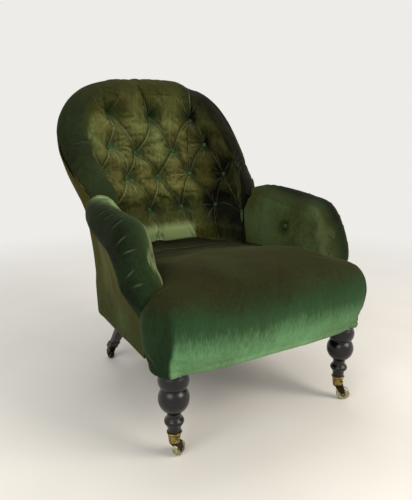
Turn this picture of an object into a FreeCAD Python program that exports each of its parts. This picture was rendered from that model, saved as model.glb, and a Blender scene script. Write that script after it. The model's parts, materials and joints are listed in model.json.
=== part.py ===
import FreeCAD, Part
import math
import os

Vector = FreeCAD.Vector

# Button back armchair, in millimetres. +Z is up, the front faces -Y, and the origin
# lies on the floor under the middle of the chair's outer box.

# Driving sizes of the whole chair
chair_height = 832.0
chair_depth = 757.0
leg_spacing = 470.0
rail_underside = 208.0
hem_height = 203.0
soft_gap = 0.3
overrun = 60.0
quarter_turn = math.pi / 2
flat_bend_share = 0.0003
upright = Vector(0, 0, 1)
floor_centre = Vector(0, 0, 0)

# The roll along the top of the back, whose centre line is an arch
roll_radius = 45.0
crest_half_width = 274.0
crest_rise = 252.0
crest_sweep_back = 198.0
crest_squareness = 3.2
crest_sweep_power = 1.6
crest_narrowing_share = 0.135
crest_spread_power = 1.15
roll_end_pinch_share = 0.2
roll_pinch_power = 8
roll_seam_angle = math.radians(13)
roll_neck_angle = math.radians(225)
roll_brow_angle = math.radians(135)
crest_height = chair_height - roll_radius
crest_y = chair_depth / 2 - roll_radius
front_y = -chair_depth / 2

# The inner line of the back at the seat, and the frame's line behind it
base_height = 360.0
base_half_width = 212.0
base_depth = 165.0
base_squareness = 2.5
base_centre_from_crest = 287.0
base_centre_y = crest_y - base_centre_from_crest
rail_half_width = 262.0
rail_depth = 175.0
rail_squareness = 2.6

# Buttons and the pleats between them
button_pitch = 107.0
last_column = 2.5
column_step_share = 0.25
row_shares = ((0.43, 0.83), (0.22, 0.63), (0.45, 0.86), (0.27, 0.76), (0.62, 0.80), (0.36, 0.72))
button_flat = 12.0
puff_height = 22.0
pleat_depth = 2.0
button_depth = 11.0
button_seat_depth = 10.4
pocket_clearance = 0.6
lower_row_columns = 3
flank_share = 0.55
steepest_bow_share = 0.25
last_eased_middle = 11
wing_fold = 4.0
back_foot = 30.0
button_radius = 6.5
button_dome = 4.0
button_bed = 3.0
arm_button_from_front = 295.0

# Frame timber and cloth thicknesses
canvas_front = 20.0
canvas_thickness = 2.0
timber_front = canvas_front + canvas_thickness + soft_gap
cover_thickness = 3.0
rail_height = 68.0
rail_thickness = 30.0
front_rail_thickness = 28.0
crest_rail_below = 30.0
lower_rail_thickness = 12.0
lower_rail_above = 5.0
lower_rail_below = 35.0
post_width = 26.0
wing_post_width = 22.0
post_rear_room = 10.0
post_front_room = 0.5
post_column = 1.25
wing_post_column = 2.33
rail_top = rail_underside + rail_height
rail_outer_x = rail_half_width - cover_thickness - soft_gap
rail_inner_x = rail_outer_x - rail_thickness

# Arms
arm_inner_x = 217.0
arm_outer_x = 317.0
arm_slab = 22.0
arm_edge_round = 40.0
arm_foot = 330.0
arm_edge_rise_share = 0.267
arm_edge_height = 446.0
arm_edge_front_from_nose = 157.0
arm_knee_from_nose = 245.0
arm_edge_drop = 55.0
arm_slab_lap = 20.0
arm_panel_gap = 1.5
arm_rail_height = 25.0
arm_rail_width = 20.0
arm_post_depth = 40.0
arm_panel_inset = 20.0
arm_foot_proud = 8.0
arm_taper_top = 385.0
arm_centre_from_front = 345.0
arm_centre_y = front_y + arm_centre_from_front

# Seat
seat_canvas_below_base = 30.0
seat_canvas_height = base_height - seat_canvas_below_base
seat_canvas_thickness = 1.5
seat_crown_above_canvas = 68.0
seat_crown_height = seat_canvas_height + seat_crown_above_canvas
seat_edge_drop = 24.0
seat_crown = 10.0
seat_back_ahead = 20.0
seat_back_y = base_centre_y - seat_back_ahead
seat_back_depth = 162.0
seat_half_width = arm_inner_x - soft_gap
front_roll_depth = 156.5
front_roll_half_width = 297.0
front_roll_below_crown = 15.0
front_roll_height = seat_crown_height - front_roll_below_crown - hem_height
arm_button_above_crown = 22.0
arm_button_height = seat_crown_height + arm_button_above_crown
front_roll_join_y = front_y + front_roll_depth
webbing_thickness = 2.0
webbing_seat = 10.0
lining_thickness = 1.5
springs_per_side = 3
spring_wire = 1.9
spring_turns = 4
spring_spacing = 130.0
spring_front_row_behind = 48.5
spring_front_row_y = front_roll_join_y + spring_front_row_behind
spring_rear_row_behind = 20.0
spring_rear_row_y = seat_back_y + spring_rear_row_behind
spring_row_spacing = (spring_rear_row_y - spring_front_row_y) / (springs_per_side - 1)
spring_radius_share = 0.309
spring_radius = spring_row_spacing * spring_radius_share
webbing_width_share = 0.455
webbing_width = spring_row_spacing * webbing_width_share

# Front legs, turned, with a square block for the rails
front_leg_from_front = 75.0
front_leg_y = front_y + front_leg_from_front
leg_block = 46.0
brace_reach = 50.0
leg_foot_height = 46.0
leg_flange_radius = 30.0
leg_bead_radius = 32.0
leg_groove_radius = 26.0
leg_bulb_radius = 33.0
leg_shoulder_radius = 21.0
leg_neck_radius = 15.0
leg_waist_radius = 15.8
leg_collar_radius = 21.0
leg_collar_foot_radius = 16.5
leg_ankle_radius = 13.5
leg_taper_radius = 11.5
leg_toe_radius = 9.5

# Rear legs, square and swept back
rear_leg_top_x = 180.0
rear_leg_top_behind = 60.0
rear_leg_top_y = base_centre_y + rear_leg_top_behind
rear_leg_foot_x = 198.0
rear_leg_foot_behind = 153.0
rear_leg_foot_y = base_centre_y + rear_leg_foot_behind
rear_leg_top_size = 36.0
rear_leg_foot_size = 22.0
rear_leg_sweep_power = 1.7
rear_leg_levels = 5
rear_dowel_radius = 9.0
rear_dowel_length = 40.0
rear_block_depth = 90.0
rear_block_width = 62.0
block_height = 45.0

# Castors
wheel_radius = 16.5
wheel_width = 13.0
wheel_rim_round = 2.5
castor_trail = 15.0
front_left_trail_degrees = 28
front_right_trail_degrees = -37
rear_left_trail_degrees = 95
rear_right_trail_degrees = 78
axle_radius = 2.5
axle_head_radius = 3.8
axle_head_length = 1.5
axle_clearance = 0.05
wheel_side_gap = 0.5
horn_arm_thickness = 2.5
horn_arm_radius = 6.0
horn_plate_radius = 11.0
horn_plate_thickness = 3.0
horn_gap = 0.3
horn_crown_drop = 3.0
stem_radius = 4.0
stem_length = 14.0
stem_clearance = 0.05
cup_height = 24.0
cup_floor = 4.0
cup_wall = 2.0
cup_level_shares = (0.0, 0.5, 1.0)
cup_screw_radius = 2.6
cup_screw_length = 3.0
cup_bottom = leg_foot_height - cup_floor


class Station:
    """One upright plane of the back: its foot, outward and upward directions."""

    def __init__(self, foot, crest, outer):
        self.foot = foot
        self.outer = outer
        self.up = crest - foot
        self.length = self.up.Length
        self.up.normalize()
        reach = outer - foot
        self.out = reach - self.up * reach.dot(self.up)
        self.out.normalize()
        self.along = self.up.cross(self.out)

    def at(self, out, up):
        return self.foot + self.out * out + self.up * up

    def sizes_of(self, point):
        reach = point - self.foot
        return reach.dot(self.out), reach.dot(self.up)


def superellipse(angle, squareness):
    across = math.sin(angle)
    along = math.cos(angle)
    reach = (abs(across) ** squareness + abs(along) ** squareness) ** (-1 / squareness)
    return reach * across, reach * along


def plan_point(angle, half_width, depth, squareness, height):
    across, along = superellipse(angle, squareness)
    return Vector(half_width * across, base_centre_y + depth * along, height)


def walk_base_line():
    """Lengths along the seat line from the middle of the back, with their angles."""
    steps = 400
    walked = [(0.0, 0.0)]
    last = plan_point(0, base_half_width, base_depth, base_squareness, base_height)
    for step in range(1, steps + 1):
        angle = quarter_turn * step / steps
        point = plan_point(angle, base_half_width, base_depth, base_squareness, base_height)
        walked.append((walked[-1][0] + (point - last).Length, angle))
        last = point
    return walked


base_walk = walk_base_line()


def base_angle(column):
    target = abs(column) * button_pitch
    for length, angle in base_walk:
        if length >= target:
            return math.copysign(angle, column)
    return math.copysign(quarter_turn, column)


def crest_point(column):
    share = min(abs(column) / last_column, 1)
    angle = math.copysign(quarter_turn * share ** crest_spread_power, column)
    across, rise_share = superellipse(angle, crest_squareness)
    rise_share = max(rise_share, 0)
    fall_share = max(1 - rise_share, 0)
    return Vector(
        crest_half_width * across * (1 - crest_narrowing_share * fall_share ** 2),
        crest_y - crest_sweep_back * fall_share ** crest_sweep_power,
        crest_height - crest_rise * fall_share,
    )


def back_station(column):
    angle = base_angle(column)
    foot = plan_point(angle, base_half_width, base_depth, base_squareness, base_height)
    outer = plan_point(angle, rail_half_width, rail_depth, rail_squareness, hem_height)
    return Station(foot, crest_point(column), outer)


def back_columns(step):
    count = round(last_column / step)
    return [step * index for index in range(-count, count + 1)]


def roll_radius_at(column):
    pinch = roll_end_pinch_share * (abs(column) / last_column) ** roll_pinch_power
    return roll_radius * (1 - pinch)


def roll_seam(column):
    """Where the outside panel meets the roll, as out and height above the roll's centre."""
    radius = roll_radius_at(column)
    return radius * math.cos(roll_seam_angle), radius * math.sin(roll_seam_angle)


def chain(points, closed=True):
    """Edges through points: end, middle, end, middle, end. A flat middle gives a line."""
    edges = []
    for index in range(0, len(points) - 2, 2):
        start, middle, end = points[index:index + 3]
        bend = (middle - start).cross(end - start).Length
        if bend < (end - start).Length ** 2 * flat_bend_share:
            edges.append(Part.LineSegment(start, end).toShape())
        else:
            edges.append(Part.Arc(start, middle, end).toShape())
    if closed:
        edges.append(Part.LineSegment(points[-1], points[0]).toShape())
    return edges


def polygon(points):
    return Part.makePolygon(list(points) + [points[0]])


def prism(points, direction):
    return Part.Face(polygon(points)).extrude(direction)


def box_between(low, high):
    size = high - low
    return Part.makeBox(size.x, size.y, size.z, low)


def loft(wires, ruled=True):
    return Part.makeLoft(wires, True, ruled)


def mirrored(shape):
    return shape.mirror(floor_centre, Vector(1, 0, 0))


def halfway(first, second):
    return (first + second) / 2


# The tufted front of the back, as points of one station: out and up
def button_column_points(station, shares, upper_family, fold):
    """A column of buttons. The two families of columns have their buttons in turn."""
    lower = shares[0] * station.length
    upper = shares[1] * station.length
    half_flat = button_flat / 2
    neck = neck_height(station)
    button = button_depth + fold
    puff = fold - puff_height
    pleat = fold + pleat_depth
    foot = (fold - puff_height * flank_share, -back_foot)
    if upper_family:
        swell = lower / 2
        return [
            foot,
            (puff, (swell - back_foot) / 2),
            (puff, swell),
            (puff * (1 + flank_share) / 2, (swell + lower) / 2),
            (button, lower - half_flat), (button, lower), (button, lower + half_flat),
            (puff, (lower + upper) / 2),
            (button, upper - half_flat), (button, upper), (button, upper + half_flat),
            (pleat, (upper + half_flat + neck) / 2),
        ]
    swell = (upper + neck) / 2
    return [
        (fold, -back_foot),
        (pleat, (lower - back_foot) / 2),
        (button, lower - half_flat), (button, lower), (button, lower + half_flat),
        (puff, (lower + upper) / 2),
        (button, upper - half_flat), (button, upper), (button, upper + half_flat),
        (puff * (1 + flank_share) / 2, (upper + half_flat + swell) / 2),
        (puff, swell),
        (puff, (swell + neck) / 2),
    ]


def between_column_points(station, lower_shares, upper_shares, fold):
    """Halfway between two columns, where the pleats cross as shallow valleys."""
    one = button_column_points(station, lower_shares, True, fold)
    other = button_column_points(station, upper_shares, False, fold)
    flank = fold - puff_height * flank_share
    valley = fold + pleat_depth
    outs = [flank, flank, flank, flank, valley, flank, valley, flank, valley, flank, flank, flank]
    return [(out, (a[1] + b[1]) / 2) for out, a, b in zip(outs, one, other)]


def neck_height(station):
    return station.length + roll_radius * math.sin(roll_neck_angle)


def front_points(column, station):
    fold = wing_fold * (abs(column) / last_column) ** roll_pinch_power
    twice = abs(column) * 2
    if twice == int(twice):
        index = int(twice)
        return button_column_points(station, row_shares[index], index % 2 == 0, fold)
    low = int(twice)
    pair = (row_shares[low], row_shares[low + 1])
    even, odd = pair if low % 2 == 0 else (pair[1], pair[0])
    return between_column_points(station, even, odd, fold)


def back_pad_wire(column):
    station = back_station(column)
    radius = roll_radius_at(column)
    seam_out, seam_up = roll_seam(column)
    middle_angle = (roll_brow_angle + roll_seam_angle) / 2
    points = front_points(column, station)
    for angle in (roll_neck_angle, math.pi, roll_brow_angle, middle_angle):
        points.append((radius * math.cos(angle), station.length + radius * math.sin(angle)))
    seam_height = station.length + seam_up + soft_gap
    rear = canvas_front - soft_gap
    corners = [(seam_out, seam_height), (rear, seam_height), (rear, -back_foot)]
    for corner in corners:
        if len(points) % 2:
            last = points[-1]
            points.append(((last[0] + corner[0]) / 2, (last[1] + corner[1]) / 2))
        points.append(corner)
    placed = [station.at(out, up) for out, up in points]
    for index in range(1, last_eased_middle + 1, 2):
        placed[index] = eased_middle(*placed[index - 1:index + 2])
    return Part.Wire(chain(placed))


def eased_middle(start, middle, end):
    """The middle of an arc, brought nearer its chord where the bow would be too steep."""
    centre = halfway(start, end)
    bow = middle - centre
    limit = (end - start).Length * steepest_bow_share
    if bow.Length <= limit:
        return middle
    return centre + bow * (limit / bow.Length)


def button_spots():
    """Each back button's column, its station and its height up the station."""
    spots = []
    for column in back_columns(1 / 2):
        index = round(abs(column) * 2)
        station = back_station(column)
        lower, upper = row_shares[index]
        spots.append((column, station, lower * station.length))
        if index <= lower_row_columns:
            spots.append((column, station, upper * station.length))
    return spots


def domed_button(seat, facing):
    sphere_radius = (button_radius ** 2 + button_dome ** 2) / (2 * button_dome)
    half_angle = math.asin(button_radius / sphere_radius) / 2
    middle_drop = sphere_radius * (1 - math.cos(half_angle))
    rim = Vector(button_radius, 0, 0)
    middle = Vector(sphere_radius * math.sin(half_angle), 0, button_dome - middle_drop)
    crown = Vector(0, 0, button_dome)
    profile = Part.Wire([
        Part.LineSegment(floor_centre, rim).toShape(), Part.Arc(rim, middle, crown).toShape(),
        Part.LineSegment(crown, floor_centre).toShape(),
    ])
    button = Part.Face(profile).revolve(floor_centre, upright, 360)
    button.Placement = FreeCAD.Placement(seat, FreeCAD.Rotation(upright, facing))
    return button


def button_seat(column, station, height):
    fold = wing_fold * (abs(column) / last_column) ** roll_pinch_power
    return station.at(button_seat_depth + fold, height)


def button_pocket(column, station, height):
    """The room that a button presses out of the stuffing."""
    seat = button_seat(column, station, height) + station.out * soft_gap
    return Part.makeCylinder(button_radius + pocket_clearance, overrun, seat, station.out * -1)


def back_buttons():
    return [domed_button(button_seat(*spot), spot[1].out * -1) for spot in button_spots()]


def inside_back_pad():
    pad = loft([back_pad_wire(column) for column in back_columns(column_step_share)])
    return largest(pad.cut([button_pocket(*spot) for spot in button_spots()]))


def station_band(out_low, out_high, up_low, up_high, step=column_step_share):
    """A four-sided band that follows the back. Each limit is a function of the column."""
    wires = []
    for column in back_columns(step):
        station = back_station(column)
        low, high = out_low(column, station), out_high(column, station)
        bottom, top = up_low(column, station), up_high(column, station)
        corners = ((low, bottom), (high, bottom), (high, top), (low, top))
        wires.append(polygon([station.at(out, up) for out, up in corners]))
    return loft(wires)


def fixed(value):
    return lambda column, station: value


def from_crest(rise):
    return lambda column, station: station.length + rise


def seam_rise(column, station):
    return station.length + roll_seam(column)[1]


def timber_back(column, station):
    return roll_seam(column)[0] - cover_thickness - soft_gap


def back_canvas():
    rear = canvas_front + canvas_thickness
    return station_band(fixed(canvas_front), fixed(rear), fixed(-back_foot), seam_rise)


def stuffing_room():
    """All the space in front of the frame's timber, where the back's stuffing lies."""
    return station_band(fixed(-overrun), fixed(timber_front), fixed(-overrun), from_crest(overrun))


def crest_rail():
    return station_band(fixed(timber_front), timber_back, from_crest(-crest_rail_below), seam_rise)


def lower_back_rail():
    back = timber_front + lower_rail_thickness
    return station_band(fixed(timber_front), fixed(back), fixed(-lower_rail_below), fixed(lower_rail_above))


def outside_back_panel():
    wires = []
    for column in back_columns(column_step_share):
        station = back_station(column)
        seam_out, seam_up = roll_seam(column)
        out, up = station.sizes_of(station.outer)
        top = station.length + seam_up
        inner, inner_top = out - cover_thickness, seam_out - cover_thickness
        corners = ((out, up), (seam_out, top), (inner_top, top), (inner, up))
        wires.append(polygon([station.at(*corner) for corner in corners]))
    return loft(wires)


def back_post(column, width, rails):
    """A straight upright behind the canvas, between the seat frame and the crest rail."""
    station = back_station(column)
    front = timber_front + post_front_room
    back = timber_back(column, station) - post_rear_room
    bottom = -(base_height - hem_height)
    side = station.along * (width / 2)
    top = station.length
    corners = ((front, bottom), (back, bottom), (back, top), (front, top))
    post = prism([station.at(*corner) - side for corner in corners], side * 2)
    reach = chair_depth
    below = box_between(Vector(-reach, -reach, 0), Vector(reach, reach, rail_top))
    return largest(post.cut(Part.makeCompound(rails + [below])))


def largest(shape):
    return max(shape.Solids, key=lambda solid: solid.Volume)


# The seat frame
def curve_through(half_width, depth, height, pieces=8):
    points = []
    for index in range(2 * pieces + 1):
        angle = quarter_turn * (index / pieces - 1)
        points.append(plan_point(angle, half_width, depth, rail_squareness, height))
    return chain(points, closed=False), points[0], points[-1]


def rear_seat_rail():
    inset = cover_thickness + soft_gap
    inner_inset = inset + rail_thickness
    outer, outer_left, outer_right = curve_through(
        rail_half_width - inset, rail_depth - inset, rail_underside)
    inner, inner_left, inner_right = curve_through(
        rail_half_width - inner_inset, rail_depth - inner_inset, rail_underside)
    ends = [
        Part.LineSegment(outer_left, inner_left).toShape(),
        Part.LineSegment(inner_right, outer_right).toShape(),
    ]
    face = Part.Face(Part.Wire(Part.__sortEdges__(outer + inner + ends)))
    return face.extrude(upright * rail_height)


def side_seat_rail():
    low = Vector(rail_inner_x, front_leg_y + leg_block / 2, rail_underside)
    return box_between(low, Vector(rail_outer_x, base_centre_y, rail_top))


def block_corner():
    """The outer front corner of the left leg's square block."""
    return Vector(leg_spacing / 2 + leg_block / 2, front_leg_y - leg_block / 2, rail_underside)


def front_seat_rail():
    corner = block_corner()
    reach = leg_spacing / 2 - leg_block / 2
    low = Vector(-reach, corner.y, rail_underside)
    return box_between(low, Vector(reach, corner.y + front_rail_thickness, rail_top))


def front_corner_brace():
    inner_x = leg_spacing / 2 - leg_block / 2
    block_back = front_leg_y + leg_block / 2
    rail_back = block_corner().y + front_rail_thickness
    level = rail_underside + (rail_height - block_height) / 2
    reach = brace_reach
    points = [
        Vector(inner_x - reach, rail_back, level), Vector(inner_x, rail_back, level),
        Vector(inner_x, block_back, level), Vector(rail_inner_x, block_back, level),
        Vector(rail_inner_x, block_back + reach, level),
    ]
    return prism(points, upright * block_height)


def rear_corner_block(rear_rail):
    low = Vector(rail_inner_x - rear_block_width, rear_leg_top_y - rear_block_depth / 2, rail_underside)
    high = Vector(rail_inner_x, rear_leg_top_y + rear_block_depth / 2, rail_underside + block_height)
    dowel = Part.makeCylinder(
        rear_dowel_radius, rear_dowel_length, Vector(rear_leg_top_x, rear_leg_top_y, rail_underside))
    return largest(box_between(low, high).cut(Part.makeCompound([rear_rail, dowel])))


# Arms. Outline points are shares of the arm's length and height, from the front of the seat
arm_length = 510.0
arm_height = 545.0
arm_crest_shares = (
    (1.10, 1.015), (0.98, 0.995), (0.82, 0.963), (0.68, 0.942), (0.48, 0.932), (0.382, 0.924),
    (0.325, 0.890), (0.275, 0.826), (0.240, 0.743), (0.224, 0.642), (0.232, 0.532), (0.262, 0.440),
    (0.288, 0.381),
)
arm_edge_round_shares = (0.1, 0.3, 0.6)
arm_crest_round_shares = (1, 1, 1, 1, 1, 0.95, 0.9, 0.8, 0.65, 0.5, 0.4, 0.28, 0.22)


def roll_edge_height(y):
    """The roll's lower line: straight along the arm, then curving down to the front."""
    knee = front_y + arm_knee_from_nose
    past_knee_share = max(knee - y, 0) / (arm_knee_from_nose - arm_edge_front_from_nose)
    return arm_edge_height + arm_edge_rise_share * (y - arm_centre_y) - arm_edge_drop * past_knee_share ** 2


def crest_outline(inset):
    """The arm's top and front line, moved inward by an inset."""
    line = [Vector(0, front_y + share * arm_length, rise * arm_height) for share, rise in arm_crest_shares]
    moved = []
    for index, point in enumerate(line):
        before = line[max(index - 1, 0)]
        after = line[min(index + 1, len(line) - 1)]
        tangent = after - before
        tangent.normalize()
        inward = Vector(0, -tangent.z, tangent.y)
        moved.append(point + inward * (inset * arm_crest_round_shares[index]))
    return moved


def edge_outline(inset):
    """The lower line of the roll, from the front's foot up and back along the arm."""
    front = front_y + arm_edge_front_from_nose
    knee = front_y + arm_knee_from_nose
    rear = front_y + arm_crest_shares[0][0] * arm_length
    corner_height = roll_edge_height(front)
    line = [Vector(0, front, hem_height), Vector(0, front, (hem_height + corner_height) / 2)]
    line = [point + Vector(0, -inset * share, 0) for point, share in zip(line, arm_edge_round_shares)]
    corner_inset = inset * arm_edge_round_shares[-1]
    line.append(Vector(0, front - corner_inset, corner_height + corner_inset))
    for y in ((front + knee) / 2, knee, (knee + rear) / 2, rear):
        line.append(Vector(0, y, roll_edge_height(y) + inset))
    return line


def arm_roll_wire(x, crest_inset, edge_inset):
    points = crest_outline(crest_inset)
    lower = edge_outline(edge_inset)
    points += [halfway(points[-1], lower[0])] + lower
    at_x = Vector(x, 0, 0)
    return Part.Wire(chain([point + at_x for point in points]))


def arm_roll(grow=0.0):
    """The rolled top and front of the arm, rounded on both sides."""
    side_shares = ((0.0, 1.0, 0.0), (0.05, 0.55, 0.0), (0.16, 0.22, 0.0), (0.38, 0.0, 0.0), (0.62, 0.0, 0.0),
                   (0.84, 0.18, 0.05), (0.95, 0.45, 0.15), (1.0, 0.8, 0.28))
    width = arm_outer_x - arm_inner_x
    wires = []
    for share, crest_share, edge_share in side_shares:
        x = arm_inner_x + width * share + grow * (2 * share - 1)
        crest_inset = arm_edge_round * crest_share - grow
        edge_inset = arm_edge_round * edge_share - grow
        wires.append(arm_roll_wire(x, crest_inset, edge_inset))
    return loft(wires)


def behind_fold():
    """A large block behind the plane where the arm meets the back."""
    station = back_station(last_column)
    across = chair_depth
    corner = station.foot - station.out * across - station.up * across
    outward = station.out * (across * 2)
    upward = station.up * (across * 2)
    points = [corner, corner + outward, corner + outward + upward, corner + upward]
    side = station.along * across
    if side.y < 0:
        side = side * -1
    return prism([point - side * (soft_gap / across) for point in points], side)


def outside_the_foot():
    """A wedge that tapers the arm's front foot in towards the outside panel."""
    front = front_y
    rear = front_y + arm_edge_front_from_nose + overrun
    foot_x = rail_half_width + arm_foot_proud
    slope = (arm_outer_x - foot_x) / (arm_taper_top - hem_height)
    low_z = hem_height - overrun
    points = [
        Vector(foot_x - slope * overrun, front, low_z), Vector(arm_outer_x + soft_gap, front, arm_taper_top),
        Vector(arm_outer_x + overrun, front, arm_taper_top), Vector(arm_outer_x + overrun, front, low_z),
    ]
    return prism(points, Vector(0, rear - front, 0))


def frame_room():
    """The space of the seat frame, which the arm's stuffing stays out of."""
    return box_between(
        Vector(0, front_y, 0), Vector(rail_outer_x + soft_gap, chair_depth, rail_top + soft_gap))


def arm_pad(grow=0.0):
    front = front_y + arm_edge_front_from_nose
    knee = front_y + arm_knee_from_nose
    rear = front_y + arm_crest_shares[0][0] * arm_length
    inner = arm_inner_x - grow
    slab_points = [Vector(inner, front, arm_foot), Vector(inner, rear, arm_foot)]
    slab_points += [Vector(inner, y, roll_edge_height(y) + arm_slab_lap) for y in (rear, knee, front)]
    slab = prism(slab_points, Vector(arm_slab + grow, 0, 0))
    whole = arm_roll(grow).fuse(slab).removeSplitter()
    column, station, height = button_spots()[-1]
    end_pocket = button_pocket(column, station, height)
    bed = arm_button_spot() + Vector(button_bed, 0, 0)
    pocket_radius = button_radius + pocket_clearance
    arm_pocket = Part.makeCylinder(pocket_radius, button_bed, bed, Vector(-1, 0, 0))
    room = [behind_fold(), frame_room(), outside_the_foot(), end_pocket, arm_pocket]
    return largest(whole.cut(room))


def arm_button_spot():
    return Vector(arm_inner_x, front_y + arm_button_from_front, arm_button_height)


def arm_button():
    bed = Vector(button_bed - soft_gap, 0, 0)
    return domed_button(arm_button_spot() + bed, Vector(-1, 0, 0))


def arm_rail(wing_post, room):
    inner = arm_inner_x + arm_slab + soft_gap
    front = front_y + arm_edge_front_from_nose + soft_gap
    rear = base_centre_y + rail_depth / 2
    top_front = roll_edge_height(front) - arm_panel_gap
    top_rear = roll_edge_height(rear) - arm_panel_gap
    points = [
        Vector(inner, front, top_front - arm_rail_height), Vector(inner, front, top_front),
        Vector(inner, rear, top_rear), Vector(inner, rear, top_rear - arm_rail_height),
    ]
    bar = prism(points, Vector(arm_rail_width, 0, 0))
    return min(bar.cut([wing_post, room]).Solids, key=lambda solid: solid.CenterOfMass.y)


def arm_post(rail):
    inner = arm_inner_x + arm_slab + soft_gap
    front = front_y + arm_edge_front_from_nose + soft_gap
    top = roll_edge_height(front)
    post = box_between(Vector(inner, front, rail_top), Vector(rail_outer_x, front + arm_post_depth, top))
    return min(post.cut(rail).Solids, key=lambda solid: solid.CenterOfMass.z)


def outside_arm_panel(back_panel, pad_room):
    """The flat outside cover, from the fold of the back to the front of the arm."""
    station = back_station(last_column)
    seam_out, seam_up = roll_seam(last_column)
    fold_top = station.at(seam_out, station.length + seam_up)
    edge = roll_edge_height(fold_top.y) - arm_panel_gap
    fold_top = station.outer + (fold_top - station.outer) * (
        (edge - station.outer.z) / (fold_top.z - station.outer.z))
    front = front_y + arm_edge_front_from_nose + soft_gap
    knee = front_y + arm_knee_from_nose
    top_x = arm_outer_x - arm_panel_inset
    turning_angle = (base_angle(last_column) + quarter_turn) / 2
    turning = plan_point(turning_angle, rail_half_width, rail_depth, rail_squareness, hem_height)
    turning_edge = roll_edge_height(turning.y) - arm_panel_gap
    pairs = [(station.outer, fold_top), (turning, Vector((fold_top.x + top_x) / 2, turning.y, turning_edge))]
    for y in (base_centre_y, arm_centre_y, knee, (knee * 3 + front) / 4, (knee + front) / 2,
              (knee + front * 3) / 4, front):
        bottom = Vector(rail_half_width, y, hem_height)
        pairs.append((bottom, Vector(top_x, y, roll_edge_height(y) - arm_panel_gap)))
    inward = Vector(-cover_thickness, 0, 0)
    wires = [polygon([low, high, high + inward, low + inward]) for low, high in pairs]
    return largest(loft(wires).cut([back_panel, pad_room]))


# The seat's stuffing. Outline points are shares of the front roll's depth and height
front_roll_shares = (
    (1.00, 1.00), (0.57, 0.97), (0.24, 0.83), (0.03, 0.63), (0.01, 0.46), (0.09, 0.20), (0.24, 0.0),
)
front_roll_inward_shares = ((0, -1), (0.2, -1), (0.7, -0.7), (1, -0.2), (1, 0), (1, 0), (1, 0))
front_roll_side_shares = ((0.0, 0.0, 0.0, 0.0), (0.4, 0.02, 0.16, 0.0), (0.73, 0.06, 0.75, 0.0),
                          (0.89, 0.16, 1.1, 0.0), (0.965, 0.36, 1.35, 0.12), (1.0, 0.70, 1.6, 0.4))
front_roll_round = 48.0
seat_top_shares = (-1.1, -0.75, -0.4, 0.0, 0.4, 0.75, 1.1)


def front_roll_wire(x, inset, drop, lift_share):
    bottom = rail_underside + front_roll_height * lift_share
    height = front_roll_height * (1 - lift_share)
    points = []
    pairs = zip(front_roll_shares, front_roll_inward_shares)
    for (depth_share, rise_share), (inward_y, inward_z) in pairs:
        y = front_y + front_roll_depth * depth_share + inset * inward_y
        z = bottom + height * rise_share + inset * inward_z - drop * rise_share ** 2
        points.append(Vector(x, y, z))
    rear_bottom = Vector(x, front_roll_join_y, bottom)
    points += [halfway(points[-1], rear_bottom), rear_bottom]
    return Part.Wire(chain(points))


def seat_front_roll(left_arm):
    wires = []
    rows = [(-row[0],) + row[1:] for row in reversed(front_roll_side_shares[1:])]
    for share, inset_share, drop_share, lift_share in rows + list(front_roll_side_shares):
        inset = front_roll_round * inset_share
        drop = seat_edge_drop * drop_share
        wires.append(front_roll_wire(front_roll_half_width * share, inset, drop, lift_share))
    corner = block_corner()
    room_x = max(corner.x, rail_outer_x) + soft_gap
    room_low = Vector(-room_x, corner.y - soft_gap, 0)
    room = box_between(room_low, Vector(room_x, chair_depth, rail_top + soft_gap))
    return largest(loft(wires).cut([room, left_arm, mirrored(left_arm)]))


def seat_outline(height, inset=0.0):
    """The seat between the arms, straight at the sides and round at the back."""
    half_width = seat_half_width - inset
    depth = seat_back_depth - inset
    points = []
    pieces = 8
    for index in range(2 * pieces + 1):
        across, along = superellipse(quarter_turn * (index / pieces - 1), base_squareness)
        points.append(Vector(half_width * across, seat_back_y + depth * along, height))
    edges = chain(points, closed=False)
    left = Vector(-half_width, front_roll_join_y, height)
    right = Vector(half_width, front_roll_join_y, height)
    edges.append(Part.LineSegment(points[-1], right).toShape())
    edges.append(Part.LineSegment(right, left).toShape())
    edges.append(Part.LineSegment(left, points[0]).toShape())
    return Part.Face(Part.Wire(edges))


def seat_top_height(share):
    return seat_crown_height - seat_crown - seat_edge_drop * share ** 2


def seat_stuffing(back_pad):
    bottom = seat_canvas_height + seat_canvas_thickness
    rear = seat_back_y + seat_back_depth + overrun
    wires = []
    for share in seat_top_shares:
        x = seat_half_width * share
        edge = seat_top_height(share)
        corners = [Vector(x, front_roll_join_y, edge), Vector(x, base_centre_y - overrun, edge + seat_crown),
                   Vector(x, rear, edge - seat_crown)]
        low = [Vector(x, rear, bottom), Vector(x, front_roll_join_y, bottom)]
        points = corners + [halfway(corners[-1], low[0]), low[0], halfway(*low), low[1]]
        wires.append(Part.Wire(chain(points)))
    prism_height = seat_crown_height - bottom + overrun
    whole = loft(wires, ruled=False).common(seat_outline(bottom).extrude(upright * prism_height))
    return largest(whole.cut(back_pad))


def seat_webbing():
    """Straps tacked under the rails, one layer each way."""
    straps = []
    half_length = rail_inner_x + rail_thickness / 2
    upper = rail_underside - webbing_thickness
    rear_y = base_centre_y + rail_depth - rail_thickness
    front_edge = block_corner().y + front_rail_thickness - webbing_seat
    count = springs_per_side
    for index in range(count):
        x = spring_spacing * (index - (count - 1) / 2) - webbing_width / 2
        low = Vector(x, front_edge, upper)
        straps.append(box_between(low, Vector(x + webbing_width, rear_y, rail_underside)))
    for index in range(count):
        y = spring_row_y(index) - webbing_width / 2
        low = Vector(-half_length, y, upper - webbing_thickness)
        straps.append(box_between(low, Vector(half_length, y + webbing_width, upper)))
    return straps


def spring_row_y(index):
    return spring_front_row_y + spring_row_spacing * index


def helix_point(turns, pitch):
    angle = 2 * math.pi * turns
    return Vector(spring_radius * math.cos(angle), spring_radius * math.sin(angle), pitch * turns)


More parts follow.
